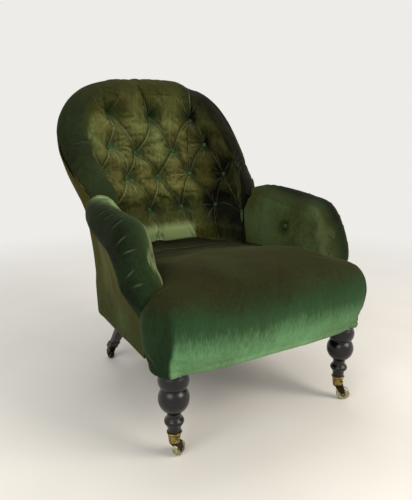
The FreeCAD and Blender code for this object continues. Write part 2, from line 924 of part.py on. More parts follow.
def seat_springs():
    """Coils wound as arcs of a half turn, one unbroken wire in each spring."""
    pitch = (seat_canvas_height - rail_underside - 2 * spring_wire) / spring_turns
    points = [helix_point(quarter / 4, pitch) for quarter in range(4 * spring_turns + 1)]
    path = Part.Wire(chain(points, closed=False))
    start = Part.Wire(Part.makeCircle(spring_wire, points[0], Vector(0, 1, 0)))
    coil = path.makePipeShell([start], True, False)
    coils = []
    for column in range(springs_per_side):
        for row in range(springs_per_side):
            x = spring_spacing * (column - (springs_per_side - 1) / 2)
            coil_copy = coil.copy()
            coil_copy.translate(Vector(x, spring_row_y(row), rail_underside + spring_wire))
            coils.append(coil_copy)
    return coils


def spring_canvas(back_pad):
    return largest(seat_outline(seat_canvas_height).extrude(upright * seat_canvas_thickness).cut(back_pad))


def bottom_lining():
    level = rail_underside - 2 * webbing_thickness - lining_thickness
    inset = cover_thickness + soft_gap
    rear, left, right = curve_through(rail_half_width - inset, rail_depth - inset, level)
    corner = block_corner()
    front_left = Vector(left.x, corner.y, level)
    front_right = Vector(right.x, corner.y, level)
    edges = rear + [
        Part.LineSegment(right, front_right).toShape(),
        Part.LineSegment(front_right, front_left).toShape(),
        Part.LineSegment(front_left, left).toShape(),
    ]
    sheet = Part.Face(Part.Wire(edges)).extrude(upright * lining_thickness)
    holes = []
    for side in (-1, 1):
        spot = Vector(side * leg_spacing / 2, front_leg_y, 0)
        holes.append(Part.makeCylinder(leg_bead_radius + soft_gap, chair_height, spot))
        half = rear_leg_top_size / 2 + soft_gap + lining_thickness
        low = Vector(side * rear_leg_top_x - half, rear_leg_top_y - half, 0)
        holes.append(box_between(low, low + Vector(2 * half, 2 * half, chair_height)))
    return largest(sheet.cut(Part.makeCompound(holes)))


# Legs
# The turning from the seat down: ends of runs, with the middle of each arc between them
turned_radii = (
    leg_flange_radius, leg_flange_radius, leg_flange_radius, leg_bead_radius, leg_flange_radius,
    leg_groove_radius, leg_groove_radius, leg_bulb_radius, leg_shoulder_radius,
    leg_neck_radius, leg_waist_radius, leg_collar_radius, leg_collar_foot_radius,
    leg_neck_radius, leg_ankle_radius, leg_taper_radius, leg_toe_radius,
)
turned_fall_shares = (
    0.0, 0.025, 0.05, 0.15, 0.24,
    0.255, 0.27, 0.40, 0.56,
    0.62, 0.675, 0.72, 0.77,
    0.80, 0.88, 0.94, 1.0,
)


def turned_outline():
    reach = rail_underside - leg_foot_height
    heights = [rail_underside - reach * share for share in turned_fall_shares]
    return list(zip(turned_radii, heights))


def front_leg():
    points = [Vector(radius, 0, height) for radius, height in turned_outline()]
    axis_top = Vector(0, 0, rail_underside)
    axis_foot = Vector(0, 0, leg_foot_height)
    points += [halfway(points[-1], axis_foot), axis_foot, halfway(axis_foot, axis_top), axis_top]
    turned = Part.Face(Part.Wire(chain(points))).revolve(floor_centre, upright, 360)
    half = leg_block / 2
    block = box_between(Vector(-half, -half, rail_underside), Vector(half, half, rail_top))
    leg = turned.fuse(block).cut(stem_bore())
    leg.translate(Vector(leg_spacing / 2, front_leg_y, 0))
    return leg


def stem_bore():
    return Part.makeCylinder(stem_radius + stem_clearance, stem_length, Vector(0, 0, cup_bottom - horn_gap))


def square_wire(centre, size):
    half = size / 2
    corners = ((-half, -half), (half, -half), (half, half), (-half, half))
    return polygon([centre + Vector(x, y, 0) for x, y in corners])


def rear_leg_centre(height):
    fall_share = (rail_underside - height) / (rail_underside - leg_foot_height)
    x = rear_leg_top_x + (rear_leg_foot_x - rear_leg_top_x) * fall_share
    y = rear_leg_top_y + (rear_leg_foot_y - rear_leg_top_y) * fall_share ** rear_leg_sweep_power
    return Vector(x, y, height)


def rear_leg_size(height):
    fall_share = (rail_underside - height) / (rail_underside - leg_foot_height)
    return rear_leg_top_size + (rear_leg_foot_size - rear_leg_top_size) * fall_share


def rear_leg():
    wires = []
    for level in range(rear_leg_levels):
        share = level / (rear_leg_levels - 1)
        height = rail_underside + (leg_foot_height - rail_underside) * share
        wires.append(square_wire(rear_leg_centre(height), rear_leg_size(height)))
    dowel = Part.makeCylinder(
        rear_dowel_radius, rear_dowel_length, Vector(rear_leg_top_x, rear_leg_top_y, rail_underside))
    bore = stem_bore()
    bore.translate(Vector(rear_leg_foot_x, rear_leg_foot_y, 0))
    return loft(wires, ruled=False).fuse(dowel).cut(bore)


# Castors, made at the origin with the swivel on +Z and the wheel trailing towards +X
def front_cup():
    """A round brass socket on the tapered toe of a turned leg."""
    top = cup_bottom + cup_height
    top_radius = leg_ankle_radius + cup_wall
    outer = Part.makeCone(leg_toe_radius + cup_wall, top_radius, cup_height, Vector(0, 0, cup_bottom))
    lip = Part.makeCylinder(top_radius + cup_wall / 3, cup_wall, Vector(0, 0, top - cup_wall))
    leg = front_leg()
    leg.translate(Vector(-leg_spacing / 2, -front_leg_y, 0))
    return outer.fuse(lip).cut(leg).cut(stem_bore())


def rear_cup():
    """A square brass socket on the foot of a rear leg."""
    wires = []
    for share in cup_level_shares:
        height = cup_bottom + cup_floor + (cup_height - cup_floor) * share
        wires.append(square_wire(rear_leg_centre(height), rear_leg_size(height) + 2 * cup_wall))
    foot = rear_leg_centre(leg_foot_height)
    half = rear_leg_foot_size / 2 + cup_wall
    low = Vector(foot.x - half, foot.y - half, cup_bottom)
    floor_plate = box_between(low, Vector(foot.x + half, foot.y + half, leg_foot_height))
    bore = stem_bore()
    bore.translate(Vector(foot.x, foot.y, 0))
    return loft(wires, ruled=False).fuse(floor_plate).cut(Part.makeCompound([rear_leg(), bore]))


def castor_horn():
    """The swivelling fork: stem, round plate, crown and two arms to the axle."""
    plate_top = cup_bottom - horn_gap
    plate_bottom = plate_top - horn_plate_thickness
    stem = Part.makeCylinder(stem_radius, stem_length - horn_gap, Vector(0, 0, plate_top))
    plate = Part.makeCylinder(horn_plate_radius, horn_plate_thickness, Vector(0, 0, plate_bottom))
    inner = wheel_width / 2 + wheel_side_gap
    outer = inner + horn_arm_thickness
    crown_bottom = plate_bottom - horn_crown_drop
    crown = box_between(
        Vector(-horn_plate_radius / 2, -outer, crown_bottom), Vector(castor_trail, outer, plate_bottom))
    arm_points = [
        Vector(-horn_plate_radius / 2, inner, crown_bottom), Vector(castor_trail, inner, crown_bottom),
        Vector(castor_trail + horn_arm_radius, inner, wheel_radius),
        Vector(castor_trail - horn_arm_radius, inner, wheel_radius),
    ]
    arm = prism(arm_points, Vector(0, horn_arm_thickness, 0))
    arm = arm.fuse(Part.makeCylinder(horn_arm_radius, horn_arm_thickness,
                                     Vector(castor_trail, inner, wheel_radius), Vector(0, 1, 0)))
    other = arm.mirror(floor_centre, Vector(0, 1, 0))
    hole_start = Vector(castor_trail, -outer, wheel_radius)
    axle_hole = Part.makeCylinder(axle_radius, 2 * outer, hole_start, Vector(0, 1, 0))
    return stem.fuse([plate, crown, arm, other]).cut(axle_hole).removeSplitter()


def castor_axle():
    outer = wheel_width / 2 + wheel_side_gap + horn_arm_thickness
    centre = Vector(castor_trail, 0, wheel_radius)
    along = Vector(0, 1, 0)
    pin = Part.makeCylinder(axle_radius, 2 * outer, centre - along * outer, along)
    head_starts = (centre + along * outer, centre - along * (outer + axle_head_length))
    heads = [Part.makeCylinder(axle_head_radius, axle_head_length, start, along) for start in head_starts]
    return pin.fuse(heads)


def castor_wheel():
    half = wheel_width / 2
    centre = Vector(castor_trail, -half, wheel_radius)
    along = Vector(0, 1, 0)
    wheel = Part.makeCylinder(wheel_radius, wheel_width, centre, along)
    rims = [edge for edge in wheel.Edges if edge.Curve.TypeId == "Part::GeomCircle"]
    wheel = wheel.makeFillet(wheel_rim_round, rims)
    bore = Part.makeCylinder(axle_radius + axle_clearance, wheel_width, centre, along)
    return wheel.cut(bore)


def cup_screw(facing, radius_at_screw):
    height = cup_bottom + cup_height / 2
    seat = facing * radius_at_screw + Vector(0, 0, height)
    return Part.makeCylinder(cup_screw_radius, cup_screw_length, seat, facing)


def castor_spots():
    """Each castor's name, place and trailing direction in degrees from +X."""
    rear = (rear_leg_foot_x, rear_leg_foot_y)
    return [
        ("front_left", -leg_spacing / 2, front_leg_y, front_left_trail_degrees),
        ("front_right", leg_spacing / 2, front_leg_y, front_right_trail_degrees),
        ("rear_left", -rear[0], rear[1], rear_left_trail_degrees),
        ("rear_right", rear[0], rear[1], rear_right_trail_degrees),
    ]


def placed(shape, x, y, degrees):
    copy = shape.copy()
    copy.rotate(floor_centre, upright, degrees)
    copy.translate(Vector(x, y, 0))
    return copy


def build_castors(nodes):
    horn, axle, wheel = castor_horn(), castor_axle(), castor_wheel()
    rear_cup_shape = rear_cup()
    screws = []
    for name, x, y, degrees in castor_spots():
        if name.startswith("front"):
            nodes["castor_cup_" + name] = placed(front_cup(), x, y, 0)
            screw_radius = (leg_toe_radius + leg_ankle_radius) / 2 + cup_wall
            screw = cup_screw(Vector(0, -1, 0), screw_radius)
            screw.translate(Vector(x, y, 0))
            screws.append(screw.cut(nodes["castor_cup_" + name]))
        else:
            nodes["castor_cup_" + name] = rear_cup_shape if x > 0 else mirrored(rear_cup_shape)
        nodes["castor_horn_" + name] = placed(horn, x, y, degrees)
        nodes["castor_axle_" + name] = placed(axle, x, y, degrees)
        nodes["castor_wheel_" + name] = placed(wheel, x, y, degrees)
    nodes["castor_cup_screws"] = Part.makeCompound(screws)


def build_frame(nodes):
    rear_rail = rear_seat_rail()
    side_rail = side_seat_rail()
    nodes["front_seat_rail"] = front_seat_rail()
    nodes["rear_seat_rail"] = rear_rail
    nodes["right_seat_rail"] = side_rail
    nodes["left_seat_rail"] = mirrored(side_rail)
    front_brace = front_corner_brace()
    rear_block = rear_corner_block(rear_rail)
    right_blocks = [front_brace, rear_block]
    left_blocks = [mirrored(block) for block in right_blocks]
    nodes["corner_blocks"] = Part.makeCompound(right_blocks + left_blocks)
    nodes["crest_rail"] = crest_rail()
    nodes["lower_back_rail"] = lower_back_rail()
    room = stuffing_room()
    hoops = [nodes["crest_rail"], nodes["lower_back_rail"], room]
    post = back_post(post_column, post_width, hoops)
    wing = back_post(wing_post_column, wing_post_width, hoops)
    rail = arm_rail(wing, room)
    arm_support = arm_post(rail)
    leg, back_leg = front_leg(), rear_leg()
    pairs = (("back_post", post), ("wing_post", wing), ("arm_rail", rail), ("arm_post", arm_support),
             ("front_leg", leg), ("rear_leg", back_leg))
    for name, shape in pairs:
        nodes["right_" + name] = shape
        nodes["left_" + name] = mirrored(shape)


def build_upholstery(nodes):
    pad = arm_pad()
    pad_room = arm_pad(soft_gap)
    nodes["right_arm_pad"] = pad
    nodes["left_arm_pad"] = mirrored(pad)
    nodes["outside_back_panel"] = outside_back_panel()
    panel = outside_arm_panel(nodes["outside_back_panel"], pad_room)
    nodes["right_outside_arm_panel"] = panel
    nodes["left_outside_arm_panel"] = mirrored(panel)
    nodes["seat_front_roll"] = seat_front_roll(pad_room)
    nodes["inside_back_pad"] = inside_back_pad()
    nodes["seat_stuffing"] = seat_stuffing(nodes["inside_back_pad"])
    nodes["spring_canvas"] = spring_canvas(nodes["inside_back_pad"])
    nodes["seat_springs"] = Part.makeCompound(seat_springs())
    nodes["seat_webbing"] = Part.makeCompound(seat_webbing())
    nodes["bottom_lining"] = bottom_lining()
    nodes["back_canvas"] = back_canvas()
    nodes["back_buttons"] = Part.makeCompound(back_buttons())
    button = arm_button()
    nodes["arm_buttons"] = Part.makeCompound([button, mirrored(button)])


def main():
    os.makedirs("parts", exist_ok=True)
    nodes = {}
    build_frame(nodes)
    build_upholstery(nodes)
    build_castors(nodes)
    for name, shape in nodes.items():
        shape.exportStep("parts/" + name + ".step")
        print(name, len(shape.Solids), shape.isValid(), round(shape.Volume / 1000, 1), shape.BoundBox)


main()
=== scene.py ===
"""Dresses the button back armchair: velvet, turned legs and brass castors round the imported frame."""

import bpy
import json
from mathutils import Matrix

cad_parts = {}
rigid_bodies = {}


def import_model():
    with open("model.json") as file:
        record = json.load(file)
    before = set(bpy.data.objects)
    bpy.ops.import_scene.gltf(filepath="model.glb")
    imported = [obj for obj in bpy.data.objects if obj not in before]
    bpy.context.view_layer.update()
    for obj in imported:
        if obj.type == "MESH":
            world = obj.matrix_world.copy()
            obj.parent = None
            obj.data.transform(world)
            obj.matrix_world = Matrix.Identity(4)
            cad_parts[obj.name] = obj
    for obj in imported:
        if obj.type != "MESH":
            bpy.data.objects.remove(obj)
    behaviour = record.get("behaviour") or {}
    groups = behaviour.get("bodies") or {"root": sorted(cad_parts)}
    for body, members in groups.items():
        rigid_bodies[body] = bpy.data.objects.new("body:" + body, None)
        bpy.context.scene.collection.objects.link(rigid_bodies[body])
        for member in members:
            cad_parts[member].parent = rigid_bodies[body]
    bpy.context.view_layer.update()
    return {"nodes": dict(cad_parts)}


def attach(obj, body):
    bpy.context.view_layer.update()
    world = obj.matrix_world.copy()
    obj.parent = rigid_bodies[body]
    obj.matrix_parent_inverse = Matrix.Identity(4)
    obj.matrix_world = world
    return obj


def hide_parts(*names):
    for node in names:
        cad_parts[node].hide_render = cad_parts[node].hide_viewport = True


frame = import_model()

import json
import logging
import math
from dataclasses import dataclass
from enum import Enum

import bpy
import numpy as np
from mathutils import Matrix, Vector

logging.basicConfig(level=logging.INFO, format="%(message)s")
log = logging.getLogger("armchair")

MM = 0.001
# Farther than any two places on the chair are from each other, in metres
FAR = 9.0
CHAIR = "chair"
Array = np.ndarray


def linear(hex_colour: str) -> tuple[float, float, float, float]:
    """Turns an sRGB hex colour into linear values.

    Args:
        hex_colour: six hex digits, such as "3f7a45".

    Returns:
        Red, green, blue and an alpha of one.
    """
    channels = [int(hex_colour[i:i + 2], 16) / 255 for i in (0, 2, 4)]
    made = [c / 12.92 if c <= 0.04045 else ((c + 0.055) / 1.055) ** 2.4 for c in channels]
    return made[0], made[1], made[2], 1.0


def smooth_step(values: Array, low: float, high: float) -> Array:
    """Rises smoothly from 0 at low to 1 at high."""
    share = np.clip((np.asarray(values, float) - low) / (high - low), 0, 1)
    return share * share * (3 - 2 * share)


def bell(away: Array, width: float) -> Array:
    """A smooth hump: 1 where away is 0, and falling off over the width to both sides."""
    return np.exp(-(away / width) ** 2)


def lengths(values: Array) -> Array:
    """The length of each row of values."""
    return np.linalg.norm(values, axis=1)


def walked_along(line: Array) -> Array:
    """How far along a line each of its places lies."""
    return np.r_[0, np.cumsum(lengths(np.diff(line, axis=0)))]


def superellipse(angle: Array, squareness: float) -> tuple[Array, Array]:
    """The point of a unit superellipse at an angle from its middle.

    Args:
        angle: angles in radians.
        squareness: 2 is round, and more is squarer.

    Returns:
        The shares across and along.
    """
    across, along = np.sin(angle), np.cos(angle)
    reach = (np.abs(across) ** squareness + np.abs(along) ** squareness) ** (-1 / squareness)
    return reach * across, reach * along


def curve_through(points: Array, count: int) -> Array:
    """Samples a smooth curve through points, evenly by length.

    Args:
        points: (n, k) places.
        count: how many samples to return.

    Returns:
        A (count, k) array.
    """
    points = np.asarray(points, float)
    ends = np.vstack([2 * points[0] - points[1], points, 2 * points[-1] - points[-2]])
    dense = []
    for i in range(1, len(ends) - 2):
        a, b, c, d = ends[i - 1:i + 3]
        t = np.linspace(0, 1, 24, endpoint=False)[:, None]
        dense.append(0.5 * (2 * b + (c - a) * t + (2 * a - 5 * b + 4 * c - d) * t ** 2
                            + (3 * b - a - 3 * c + d) * t ** 3))
    line = np.vstack(dense + [points[-1:]])
    return evenly(line, count)


def evenly(line: Array, count: int) -> Array:
    """Samples a line of straight runs evenly by its length.

    Args:
        line: (n, k) places.
        count: how many samples to return.

    Returns:
        A (count, k) array.
    """
    walked = walked_along(line)
    wanted = np.linspace(0, walked[-1], count)
    return np.stack([np.interp(wanted, walked, line[:, k]) for k in range(line.shape[1])], 1)


def lattice_noise(places: Array, scale: float, seed: int) -> Array:
    """Smooth value noise from -1 to 1 in space, the same on each run.

    Args:
        places: (n, 3) places in metres.
        scale: the size of one lump in metres.
        seed: which noise.

    Returns:
        One value per place.
    """
    table = np.random.default_rng(seed).uniform(-1, 1, 4096)
    spot = places / scale + 1000.0
    low = np.floor(spot).astype(np.int64)
    part = spot - low
    part = part * part * (3 - 2 * part)
    total = np.zeros(len(places))
    for corner in range(8):
        step = np.array([corner & 1, corner >> 1 & 1, corner >> 2 & 1])
        cell = low + step
        key = (cell[:, 0] * 73856093 ^ cell[:, 1] * 19349663 ^ cell[:, 2] * 83492791) % 4096
        weight = np.prod(np.where(step, part, 1 - part), axis=1)
        total += table[key] * weight
    return total


# ---------------------------------------------------------------- meshes


def grid_faces(rows: int, columns: int, start: int = 0, closed: bool = False) -> Array:
    """The quads of a grid of points, rows by columns.

    Args:
        rows: how many rows of points.
        columns: how many points in a row.
        start: the number of the grid's first point.
        closed: whether each row's end joins its start.

    Returns:
        A (faces, 4) array of point numbers.
    """
    across = columns if closed else columns - 1
    r, c = np.meshgrid(np.arange(rows - 1), np.arange(across), indexing="ij")
    after = (c + 1) % columns
    quads = np.stack([r * columns + c, r * columns + after, (r + 1) * columns + after,
                      (r + 1) * columns + c], -1)
    return quads.reshape(-1, 4) + start


def make_object(name: str, places: Array, faces: Array, smooth: bool = True) -> bpy.types.Object:
    """Makes a mesh object from arrays.

    Args:
        name: the piece's name.
        places: (n, 3) points in metres.
        faces: (m, 4) or (m, 3) point numbers.
        smooth: whether its faces are shaded smooth.

    Returns:
        The new object, linked to the scene.
    """
    mesh = bpy.data.meshes.new(name)
    sides = faces.shape[1]
    mesh.vertices.add(len(places))
    mesh.vertices.foreach_set("co", np.asarray(places, np.float32).ravel())
    mesh.loops.add(faces.size)
    mesh.loops.foreach_set("vertex_index", np.asarray(faces, np.int32).ravel())
    mesh.polygons.add(len(faces))
    mesh.polygons.foreach_set("loop_start", np.arange(0, faces.size, sides, dtype=np.int32))
    mesh.polygons.foreach_set("use_smooth", np.full(len(faces), smooth))
    mesh.update(calc_edges=True)
    mesh.validate()
    made = bpy.data.objects.new(name, mesh)
    bpy.context.scene.collection.objects.link(made)
    return made


def points_of(piece: bpy.types.Object) -> Array:
    """The places of an object's points."""
    places = np.empty(len(piece.data.vertices) * 3, np.float32)
    piece.data.vertices.foreach_get("co", places)
    return places.reshape(-1, 3).astype(float)


def normals_of(piece: bpy.types.Object) -> Array:
    """The outward directions of an object's points."""
    found = np.empty(len(piece.data.vertices) * 3, np.float32)
    piece.data.vertices.foreach_get("normal", found)
    return found.reshape(-1, 3).astype(float)


def move_points(piece: bpy.types.Object, places: Array) -> None:
    """Puts an object's points at new places."""
    piece.data.vertices.foreach_set("co", np.asarray(places, np.float32).ravel())
    piece.data.update()


def paint(piece: bpy.types.Object, green: Array, light: Array, pale: Array | float = 0.0) -> None:
    """Writes how the velvet's pile lies, with painted light and shade in it, point by point.

    Args:
        piece: the velvet piece.
        green: 0 where the pile looks olive brown, 1 where it looks emerald; part of the emerald is a painted
            tint of light.
        light: 0 for the darkest tone, 1 for the lightest; it carries painted shade and painted highlights as
            well as the pile's tone.
        pale: 1 where a painted highlight lies on the lit side of a fold or an edge.
    """
    colours = np.zeros((len(piece.data.vertices), 4), np.float32)
    colours[:, 0] = np.clip(green, 0, 1)
    colours[:, 1] = np.clip(light, 0, 1)
    colours[:, 2] = np.clip(pale, 0, 1)
    colours[:, 3] = 1
    layer = piece.data.color_attributes.new("pile", "FLOAT_COLOR", "POINT")
    layer.data.foreach_set("color", colours.ravel())


def welded(piece: bpy.types.Object, distance: float) -> None:
    """Joins an object's points that lie within a distance of each other."""
    import bmesh
    work = bmesh.new()
    work.from_mesh(piece.data)
    bmesh.ops.remove_doubles(work, verts=work.verts, dist=distance)
    bmesh.ops.recalc_face_normals(work, faces=work.faces)
    work.to_mesh(piece.data)
    work.free()
    piece.data.update()


def dressed(piece: bpy.types.Object, material: bpy.types.Material, body: str = CHAIR) -> None:
    """Gives a piece its material, the slot that names its finish, and the body that it rides on."""
    piece.data.materials.clear()
    piece.data.materials.append(material)
    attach(piece, body)
    log.info("piece %s: %d faces, on %s", piece.name, len(piece.data.polygons), body)


def baked(piece: bpy.types.Object) -> None:
    """Makes a piece's modifiers part of its mesh."""
    view = bpy.context.evaluated_depsgraph_get()
    mesh = bpy.data.meshes.new_from_object(piece.evaluated_get(view))
    piece.modifiers.clear()
    piece.data = mesh


def frame_points(step: float, most_places: int = 60) -> Array:
    """Places along the edges of the carried-over frame and hessian, about one step apart.

    Args:
        step: the distance between places, in metres.
        most_places: the most places on one edge.

    Returns:
        An (n, 3) array.
    """
    found = []
    for name, obj in frame["nodes"].items():
        if obj.type != "MESH" or not name.endswith(("_rail", "_post", "_blocks", "_canvas")):
            continue
        world = np.array(obj.matrix_world)
        places = points_of(obj) @ world[:3, :3].T + world[:3, 3]
        ends = np.empty(len(obj.data.edges) * 2, np.int32)
        obj.data.edges.foreach_get("vertices", ends)
        first, last = places[ends[::2]], places[ends[1::2]]
        count = int(min(lengths(last - first).max() / step + 1, most_places))
        for share in np.linspace(0, 1, count):
            found.append(first + (last - first) * share)
    found = np.concatenate(found)
    cells = np.unique(np.round(found / (step / 2)).astype(np.int32), axis=0)
    return cells * (step / 2)


def capped(moves: Array, most: float) -> Array:
    """Shortens each move that is longer than the most that a point may go."""
    length = lengths(moves)
    return moves * np.minimum(1.0, most / np.maximum(length, 1e-9))[:, None]


def resampled(values: Array, where: Array) -> Array:
    """Samples rows of values at fractional row numbers, on a smooth curve.

    Args:
        values: an array whose first axis is the rows.
        where: row numbers, such as 2.4.

    Returns:
        One row for each number.
    """
    last = len(values) - 1
    low = np.clip(np.floor(where).astype(int), 0, last - 1)
    t = (where - low).reshape(-1, *([1] * (values.ndim - 1)))
    a, b = values[np.clip(low - 1, 0, last)], values[low]
    c, d = values[low + 1], values[np.clip(low + 2, 0, last)]
    return 0.5 * (2 * b + (c - a) * t + (2 * a - 5 * b + 4 * c - d) * t ** 2
                  + (3 * b - a - 3 * c + d) * t ** 3)


def simulated(piece: bpy.types.Object, held: Array, pressure: float, shrink: float, frames: int) -> Array:
    """Lets a piece swell as velvet over stuffing, with no gravity.

    Args:
        piece: the piece, left as it was.
        held: how firmly each point is sewn down, from 0 to 1.
        pressure: how hard the stuffing pushes.
        shrink: the share that the cloth is cut smaller, or larger where it is negative.
        frames: how many steps it settles for.

    Returns:
        The places that the points settle at.
    """
    group = piece.vertex_groups.new(name="sewn")
    grades = 20
    levels = np.round(held * grades).astype(int)
    for level in np.unique(levels[levels > 0]):
        group.add(np.flatnonzero(levels == level).tolist(), float(level) / grades, "REPLACE")
    cloth = piece.modifiers.new("stuffing", "CLOTH")
    settings = cloth.settings
    settings.quality = 4
    settings.mass = 0.3
    settings.tension_stiffness = settings.compression_stiffness = 15
    settings.shear_stiffness = 6
    settings.bending_stiffness = 0.4
    settings.vertex_group_mass = group.name
    settings.use_pressure = True
    settings.uniform_pressure_force = pressure
    settings.shrink_min = shrink
    settings.effector_weights.gravity = 0
    cloth.point_cache.frame_start, cloth.point_cache.frame_end = 1, frames
    scene = bpy.context.scene
    for step in range(1, frames + 1):
        scene.frame_set(step)
    view = bpy.context.evaluated_depsgraph_get()
    settled = piece.evaluated_get(view)
    mesh = settled.to_mesh()
    places = np.empty(len(mesh.vertices) * 3, np.float32)
    mesh.vertices.foreach_get("co", places)
    settled.to_mesh_clear()
    piece.modifiers.remove(cloth)
    scene.frame_set(1)
    return places.reshape(-1, 3).astype(float)


def stuffed(piece: bpy.types.Object, voxel: float, pressure: float, most: float) -> None:
    """Turns a closed form into a stuffed one: even mesh, cloth under pressure, and one subdivision.

    Args:
        piece: the closed piece, changed in place.
        voxel: the size of the even mesh's squares.
        pressure: how hard the stuffing pushes.
        most: how far a point may move.
    """
    even = piece.modifiers.new("even", "REMESH")
    even.mode, even.voxel_size = "VOXEL", voxel
    baked(piece)
    start, normals = points_of(piece), normals_of(piece)
    held = 1 - smooth_step(start[:, 2], start[:, 2].min() + 3 * MM, start[:, 2].min() + 14 * MM)
    moved = simulated(piece, held, pressure, -0.01, 18)
    moves = capped(moved - start, most)
    growth = float(np.mean(np.sum(moves * normals, axis=1)))
    move_points(piece, start + moves - normals * (growth * (1 - held))[:, None])
    log.info("stuffed %s: %d points, grown %.1f mm", piece.name, len(start), growth / MM)
    piece.modifiers.new("finer", "SUBSURF").levels = 1
    baked(piece)
    piece.data.polygons.foreach_set("use_smooth", np.full(len(piece.data.polygons), True))


# ---------------------------------------------------------------- finishes


def add_node(tree: bpy.types.NodeTree, kind: str, settings: dict | None = None,
             links: dict | None = None) -> bpy.types.Node:
    """Adds a node with its settings and links.

    Args:
        tree: the material's node tree.
        kind: the node's type name.
        settings: values for its properties, or for its inputs by name or number.
        links: input name or number to (node, output name or number).

    Returns:
        The new node.
    """
    node = tree.nodes.new(kind)
    for key, value in (settings or {}).items():
        if isinstance(key, str) and hasattr(node, key):
            setattr(node, key, value)
        else:
            node.inputs[key].default_value = value
    for key, (source, output) in (links or {}).items():
        tree.links.new(source.outputs[output], node.inputs[key])
    return node


def maths(tree: bpy.types.NodeTree, operation: str, links: dict) -> bpy.types.Node:
    """Adds a node that works out one sum from what is linked to it."""
    return add_node(tree, "ShaderNodeMath", {"operation": operation}, links)


def new_material(name: str) -> tuple[bpy.types.Material, bpy.types.NodeTree, bpy.types.Node]:
    """Makes an empty node material.

    Args:
        name: the material's name.

    Returns:
        The material, its tree and its principled shader.
    """
    material = bpy.data.materials.new(name)
    material.use_nodes = True
    tree = material.node_tree
    tree.nodes.clear()
    shader = tree.nodes.new("ShaderNodeBsdfPrincipled")
    output = tree.nodes.new("ShaderNodeOutputMaterial")
    tree.links.new(shader.outputs[0], output.inputs[0])
    return material, tree, shader


def cloud(tree: bpy.types.NodeTree, where: tuple, size_mm: float, **settings: float) -> bpy.types.Node:
    """Adds smooth noise with lumps of a size in millimetres, and more settings by their sockets' names."""
    return add_node(tree, "ShaderNodeTexNoise", {"Scale": 1 / (size_mm * MM)} | settings, {"Vector": where})


def relief(tree: bpy.types.NodeTree, shader: bpy.types.Node, height: tuple, strength: float,
           depth_mm: float) -> None:
    """Gives a finish fine relief from a node's output."""
    bump = add_node(tree, "ShaderNodeBump", {"Strength": strength, "Distance": depth_mm * MM},
                    {"Height": height})
    tree.links.new(bump.outputs[0], shader.inputs["Normal"])


def ramp(tree: bpy.types.NodeTree, level: tuple, stops: list[tuple[float, str]]) -> bpy.types.Node:
    """Adds a colour ramp over a node's output, from places and hex colours."""
    node = add_node(tree, "ShaderNodeValToRGB", links={0: level})
    elements = node.color_ramp.elements
    while len(elements) > 1:
        elements.remove(elements[-1])
    elements[0].position, elements[0].color = stops[0][0], linear(stops[0][1])
    for place, colour in stops[1:]:
        elements.new(place).color = linear(colour)
    return node


